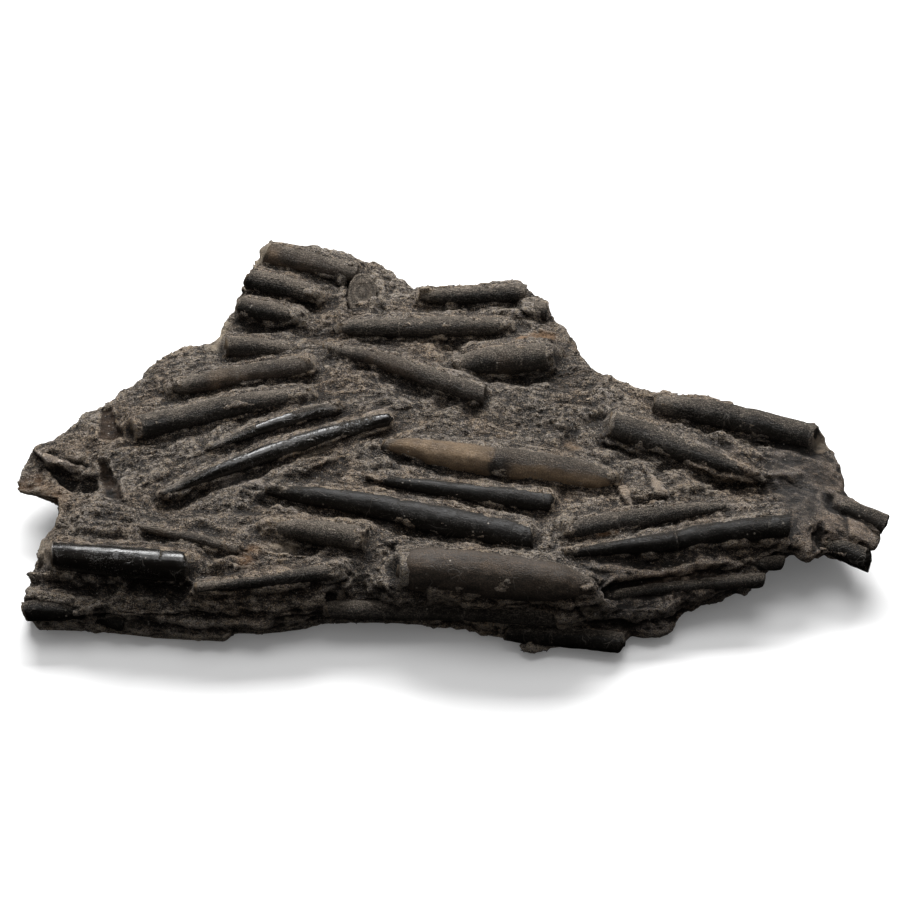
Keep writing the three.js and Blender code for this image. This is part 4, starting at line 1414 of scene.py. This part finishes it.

# outlined patches: their dark is painted shade in the hollows, moulds and notch and on the sloping right tip
rockPatches = {
    "smoothEdge": {"outline": [(138, -17), (161, -19), (173, -46), (171, -68), (148, -73), (136, -32)],
                   "level": 27, "edge": 3.0, "lift": 0.0, "slick": 0.65, "dark": 0.12},
    "smoothRight": {"outline": [(137, -34), (149, -36), (155, -41), (154, -45), (142, -40)],
                    "level": 28, "edge": 1.3, "lift": -0.7, "slick": 0.8, "dark": 0.3},
    "smoothFar": {"outline": [(107, -17), (120, -15), (126, -23), (121, -33), (106, -29)],
                  "level": 33, "edge": 2.0, "lift": 0.0, "slick": 0.35},
    "tailFill": {"outline": [(167, -53), (173, -55), (181, -60), (177, -68), (167, -64)],
                 "level": 26, "edge": 1.5, "lift": 1.2, "slick": 0.75},
    "wedgeEnd": {"outline": [(155, -11), (161, -8), (163, -15), (159, -18), (155, -17)],
                 "level": 29, "edge": 0.5, "lift": 0.3, "slick": 0.5, "pale": 0.35, "rust": 0.1},
    "railHollow": {"outline": [(109, -41), (115, -34), (123, -34), (136, -38), (121, -38)],
                   "level": 27, "edge": 0.8, "lift": -1.0, "dark": 0.2},
    "tipPlate": {"outline": [(-179, -13), (-166, -22), (-156, -24), (-157, -27), (-172, -23)],
                 "level": 26, "edge": 0.4, "lift": 1.7, "slick": 0.9},
    "tipHollow": {"outline": [(-175, -22), (-160, -28), (-151, -31), (-148, -40), (-152, -42),
                              (-165, -32)],
                  "level": 24, "edge": 1.3, "lift": -2.8, "dark": 0.5},
    "leftMould": {"outline": [(-150, -24), (-147, -24), (-140, -38), (-138, -47), (-145, -45)],
                  "level": 28, "edge": 2.2, "lift": -1.9, "slick": 0.15, "dark": 0.7, "rust": 0.12},
    "leftNotch": {"outline": [(-151, 9), (-147, 11), (-142, -9), (-151, -8)],
                  "level": 27, "edge": 2.2, "lift": -2.0, "slick": 0.15, "dark": 0.7, "rust": 0.12},
    "frontBlock": {"outline": [(-173, -59), (-168, -59), (-164, -83), (-173, -72)],
                   "level": 17, "edge": 0.6, "lift": 0.5, "slick": 0.4, "pale": 0.3},
    "valley": {"outline": [(-63, -36), (-45, -22), (-42, -29), (-46, -34)],
               "level": 30, "edge": 2.0, "lift": -1.2, "dark": 0.25},
    "flakeOne": {"outline": [(71, -41), (74, -40), (77, -55), (72, -49)],
                 "level": 33, "edge": 0.5, "lift": 1.2, "slick": 0.5, "pale": 0.2, "rust": 0.15},
    "flakeTwo": {"outline": [(85, -32), (92, -49), (87, -49), (85, -44)],
                 "level": 33, "edge": 0.5, "lift": 1.1, "slick": 0.5, "pale": 0.2, "rust": 0.15},
    "flakeThree": {"outline": [(83, -56), (84, -51), (90, -51)],
                   "level": 33, "edge": 0.4, "lift": 0.5, "pale": 0.2, "rust": 0.4},
}


def reachOf(points, line):
    # distance from points to a line of straight runs, in space or in plan
    best = np.full(len(points), 1e9)
    line = np.array(line)
    p = points[:, :line.shape[1]]
    for a, b in zip(line[:-1], line[1:]):
        t = np.clip((p - a) @ (b - a) / ((b - a) @ (b - a)), 0, 1)
        best = np.minimum(best, np.linalg.norm(p - a - t[:, None] * (b - a), axis=1))
    return best


def insideOf(points, outline):
    inside = np.zeros(len(points), bool)
    for (ax, ay), (bx, by) in zip(outline, outline[1:] + outline[:1]):
        spans = (ay > points[:, 1]) != (by > points[:, 1])
        if by != ay:
            inside ^= spans & (points[:, 0] < (bx - ax) * (points[:, 1] - ay) / (by - ay) + ax)
    return inside


def markShares(points):
    # each mark with the points it touches and how fully; height counts for less, so that a path
    # need not follow every bump
    flat = np.array([1.0, 1.0, 0.6])
    for mark in rockMarks.values():
        line = np.array(mark["path"])
        reach = 2.5 * mark["wide"]
        near = np.where(((points > line.min(0) - reach) & (points < line.max(0) + reach)).all(1))[0]
        gap = reachOf(points[near] * flat, line * flat) / mark["wide"]
        gap = gap * (1 + 0.22 * lumps(points[near], 2.5, 500))
        yield mark, near, np.exp(-gap ** 2 * 1.3)
    for mark in rockPatches.values():
        line = mark["outline"]
        edge = mark["edge"]
        low, high = np.min(line, 0) - 2 * edge, np.max(line, 0) + 2 * edge
        near = ((points[:, :2] > low) & (points[:, :2] < high)).all(1)
        near = np.where(near & (np.abs(points[:, 2] - mark["level"]) < 9))[0]
        gap = reachOf(points[near], line + line[:1])
        gap = np.where(insideOf(points[near], line), gap, -gap) + 0.3 * lumps(points[near], 2.0, 501)
        yield mark, near, smooth(gap, -0.5 * edge, 0.5 * edge)


def rockForms():
    # the rock with its guards' grooves filled and the rock banked up behind each guard
    mesh = remeshed(mergedMesh(nodes["matrix"], "rockSource"), rockSpec["formVoxel"], "rockForms")
    spots = pointsOf(mesh) * 1000
    normals = normalsOf(mesh)
    edges = edgesOf(mesh)
    gap, inward, _ = nearestGuard(spots, {name: axes[name] for name in beddingGuards})
    facing = (gap < seatSpec["groove"]) & ((normals * inward).sum(1) > 0.2)
    seated = facing & (spots[:, 2] > seatSpec["upper"][0])
    level = spread(spots[:, 2], ~seated, edges, 60)
    upper = smooth(normals[:, 2], 0.35, 0.75) * smooth(spots[:, 2], *seatSpec["upper"])
    share = np.where(seated, 1.0, upper)
    free = np.zeros(len(spots), bool)
    high = spread(seatedLevel(spots, level), free, edges, 2)
    spots[:, 2] += (high - spots[:, 2]) * share
    # in the wall's grooves the rock is closed up to the guard
    gap, inward, _ = nearestGuard(spots, {name: axes[name] for name in wallGuards})
    seated = (gap < seatSpec["groove"]) & ((normals * inward).sum(1) > 0.2)
    spots[seated] += inward[seated] * (np.maximum(gap[seated], 0) + rockSpec["seat"])[:, None]
    movePoints(mesh, spots / 1000)
    return mesh


def closeBelow(mesh):
    # the flat underside gives way to a plain lid
    hidden = erode(pointsOf(mesh)[:, 2] * 1000 < 0.4, edgesOf(mesh), 2)
    work = bmesh.new()
    work.from_mesh(mesh)
    work.verts.ensure_lookup_table()
    bmesh.ops.delete(work, geom=[work.verts[i] for i in np.where(hidden)[0]], context="VERTS")
    loose = [v for v in work.verts if not v.link_faces]
    bmesh.ops.delete(work, geom=loose, context="VERTS")
    bmesh.ops.holes_fill(work, edges=[e for e in work.edges if e.is_boundary], sides=0)
    bmesh.ops.triangulate(work, faces=[f for f in work.faces if len(f.verts) > 4])
    work.to_mesh(mesh)
    work.free()


def roughen(mesh):
    # relief of the rock: fibrous above, layered and lumpy at the broken edge
    spots = pointsOf(mesh) * 1000
    normals = normalsOf(mesh)
    gap, _, heading = nearestGuard(spots, axes)
    top = smooth(normals[:, 2], 0.25, 0.7)
    side = (1 - top) * smooth(spots[:, 2], 1.5, 5)

    def even(kind, seed, fall=0.5):
        high, size = rockSpec[kind]
        return high * lumps(spots, size, seed, 2, fall)

    def drawn(kind, seed, ledges=0):
        high, size = rockSpec[kind]
        return high * streaks(spots, heading, size, seed, ledges)

    high, size = rockSpec["beds"]
    tiers = lumps(spots * (0.16, 0.16, 1.0), size, 71, 2, 0.7) * 3
    tiers = (np.floor(tiers) + smooth(tiers - np.floor(tiers), 0.55, 1.0)) / 3
    push = even("broad", 21) + even("middle", 22)
    push += even("fine", 23, 0.7) + (drawn("streaks", 60) + drawn("threads", 160)) * top
    push += drawn("ledges", 260, 2) * top
    push += side * (high * tiers + even("chunks", 73))
    high, size = rockSpec["crumbs"]
    push += high * (0.62 - grains(spots, size, 40)) * smooth(lumps(spots, 16.0, 33), -0.1, 0.4)
    lift = np.zeros(len(spots))
    for mark, near, share in markShares(spots):
        lift[near] += mark["lift"] * share
        push[near] *= 1 - 0.85 * mark.get("slick", 0) * share
    # nothing moves at the base or under a guard
    push = (push + lift) * smooth(spots[:, 2], 0.4, 2.5) * (1 - smooth(-gap, 0.1, 0.6))
    moved = spots + normals * push[:, None]
    moved[:, 2] = np.maximum(moved[:, 2], 0.0)
    movePoints(mesh, moved / 1000)


def thinned(mesh, triangles):
    mesh.calc_loop_triangles()
    share = triangles / len(mesh.loop_triangles)
    if share >= 1:
        return mesh
    piece = bpy.data.objects.new("rockThin", mesh)
    scene.collection.objects.link(piece)
    thin = piece.modifiers.new("thin", "DECIMATE")
    thin.ratio = share
    return evaluated(piece, "rockSkin")


def stainRock(mesh):
    # what the rock's finish and the crumbs read
    spots = pointsOf(mesh) * 1000
    normals = normalsOf(mesh)
    edges = edgesOf(mesh)
    stands = ((spots - eased(spots, edges, 3)) * normals).sum(1)
    swells = ((spots - eased(spots, edges, 25)) * normals).sum(1)
    gap, _, heading = nearestGuard(spots, axes)
    paint(mesh, "lean", spread(leanOf(heading), np.zeros(len(spots), bool), edges, 20))
    paint(mesh, "course", heading)
    stains = {key: np.zeros(len(spots)) for key in ("rust", "pale", "dark", "slick")}
    for mark, near, share in markShares(spots):
        for key, values in stains.items():
            values[near] = np.maximum(values[near], mark.get(key, 0) * share)
    # the broken edge is darker and closer grained; the right tip and the right front get painted shade
    wall = 1 - smooth(eased(normals, edges, 12)[:, 2], 0.1, 0.55)
    wall = wall * (0.75 + 0.5 * lumps(spots, 14.0, 91, 2))
    tip = smooth(spots[:, 0], *rockSpec["tip"])
    front = smooth(-spots[:, 1], *rockSpec["frontDeep"]) * smooth(spots[:, 0], *rockSpec["front"])
    dark = np.maximum(rockSpec["wallDark"] * wall, rockSpec["tipShade"] * tip + rockSpec["frontShade"] * front)
    stains["dark"] = np.maximum(stains["dark"], dark)
    slick = rockSpec["slick"] * np.maximum(np.maximum(tip, front), wall)
    stains["slick"] = np.maximum(stains["slick"], slick)
    for key, values in stains.items():
        paint(mesh, key, values)
    clean = 1 - smooth(stains["slick"] + stains["dark"] + stains["pale"], 0.35, 0.9)
    paint(mesh, "crumbs", smooth(spots[:, 2], 2.0, 4.0) * (gap > -0.25) * clean)
    # paler on crests and darker in hollows: worn dust with painted light on the crests, painted shade in the
    # hollows
    relief = 0.5 + rockSpec["stands"] * stands + rockSpec["swells"] * swells
    paint(mesh, "relief", np.clip(relief, 0, 1))


def makeRock():
    mesh = remeshed(rockForms(), rockSpec["voxel"], "rockSkin")
    print("rock remeshed:", len(mesh.polygons), "faces")
    closeBelow(mesh)
    roughen(mesh)
    mesh = thinned(mesh, rockSpec["triangles"])
    stainRock(mesh)
    pieceFrom(mesh, "rock", marl, "matrix", "matrix")
    mesh.calc_loop_triangles()
    print("rock made:", len(mesh.loop_triangles), "triangles")
    return mesh


rock = makeRock()


def crumbTree():
    # small bodies strewn over the surface, lying along its grain
    group = Group("strewnCrumbs", {"Density": "Float", "Least Size": "Float", "Greatest Size": "Float",
                                   "Length": "Float", "Thickness": "Float", "Roughness": "Float",
                                   "Wander": "Float", "Seed": "Int"})
    given = group.given
    seed = given.other("Seed")

    def drawn(low, high):
        return group.node("FunctionNodeRandomValue", {"data_type": "FLOAT"},
                          {2: low, 3: high, "Seed": seed}, out=1)

    def drawnEachWay():
        return group.node("FunctionNodeRandomValue", {"data_type": "FLOAT_VECTOR"},
                          {"Min": (-1.0, -1.0, -1.0), "Max": (1.0, 1.0, 1.0), "Seed": seed})

    strewn = group.node("GeometryNodeDistributePointsOnFaces", {"distribute_method": "RANDOM"},
                        {"Mesh": given.other("Geometry"), "Seed": seed,
                         "Density": given.other("Density") * group.named("crumbs")})
    turn = group.node("FunctionNodeAlignRotationToVector", {"axis": "X", "pivot_axis": "Z"},
                      {"Rotation": strewn.other("Rotation"),
                       "Vector": group.named("course", "FLOAT_VECTOR")})
    wobble = group.scaled(drawnEachWay(), given.other("Wander"))
    turn = group.node("FunctionNodeRotateRotation", {"rotation_space": "LOCAL"},
                      {"Rotation": turn, "Rotate By": wobble})
    shape = group.node("ShaderNodeCombineXYZ", None,
                       {"X": given.other("Length"), "Y": 1.0, "Z": given.other("Thickness")})
    size = drawn(given.other("Least Size"), given.other("Greatest Size"))
    crumb = group.node("GeometryNodeMeshIcoSphere", None, {"Radius": 1.0, "Subdivisions": 1})
    bits = group.node("GeometryNodeInstanceOnPoints", None,
                      {"Points": strewn, "Instance": crumb, "Rotation": turn,
                       "Scale": group.scaled(shape, size)})
    # each crumb gets a random value in place of the rock's painted crest light and hollow shade
    bits = group.stored(bits, "relief", drawn(0.36, 0.66), "INSTANCE")
    bits = group.node("GeometryNodeRealizeInstances", None, {"Geometry": bits})
    jitter = group.scaled(drawnEachWay(), given.other("Roughness") * given.other("Least Size"))
    return group.close(group.node("GeometryNodeSetPosition", None, {"Geometry": bits, "Offset": jitter}))


strew = crumbTree()

crumbSpecs = {
    "rock_crumbs": {"Density": 7.0e4, "Least Size": 0.00025, "Greatest Size": 0.00055, "Length": 1.3,
                    "Thickness": 0.75, "Roughness": 0.5, "Wander": 0.8, "Seed": 3},
    "rock_fibres": {"Density": 1.38e5, "Least Size": 0.00015, "Greatest Size": 0.00028, "Length": 6.0,
                    "Thickness": 0.8, "Roughness": 0.5, "Wander": 0.40, "Seed": 8},
}


def strewCrumbs(name, spec, ground):
    mesh = strew.grown(ground.copy(), name, {**spec, "Skin": marl})
    pieceFrom(mesh, name, marl, "matrix")
    mesh.calc_loop_triangles()
    print(name, len(mesh.loop_triangles), "triangles")


for name, spec in crumbSpecs.items():
    strewCrumbs(name, spec, rock)
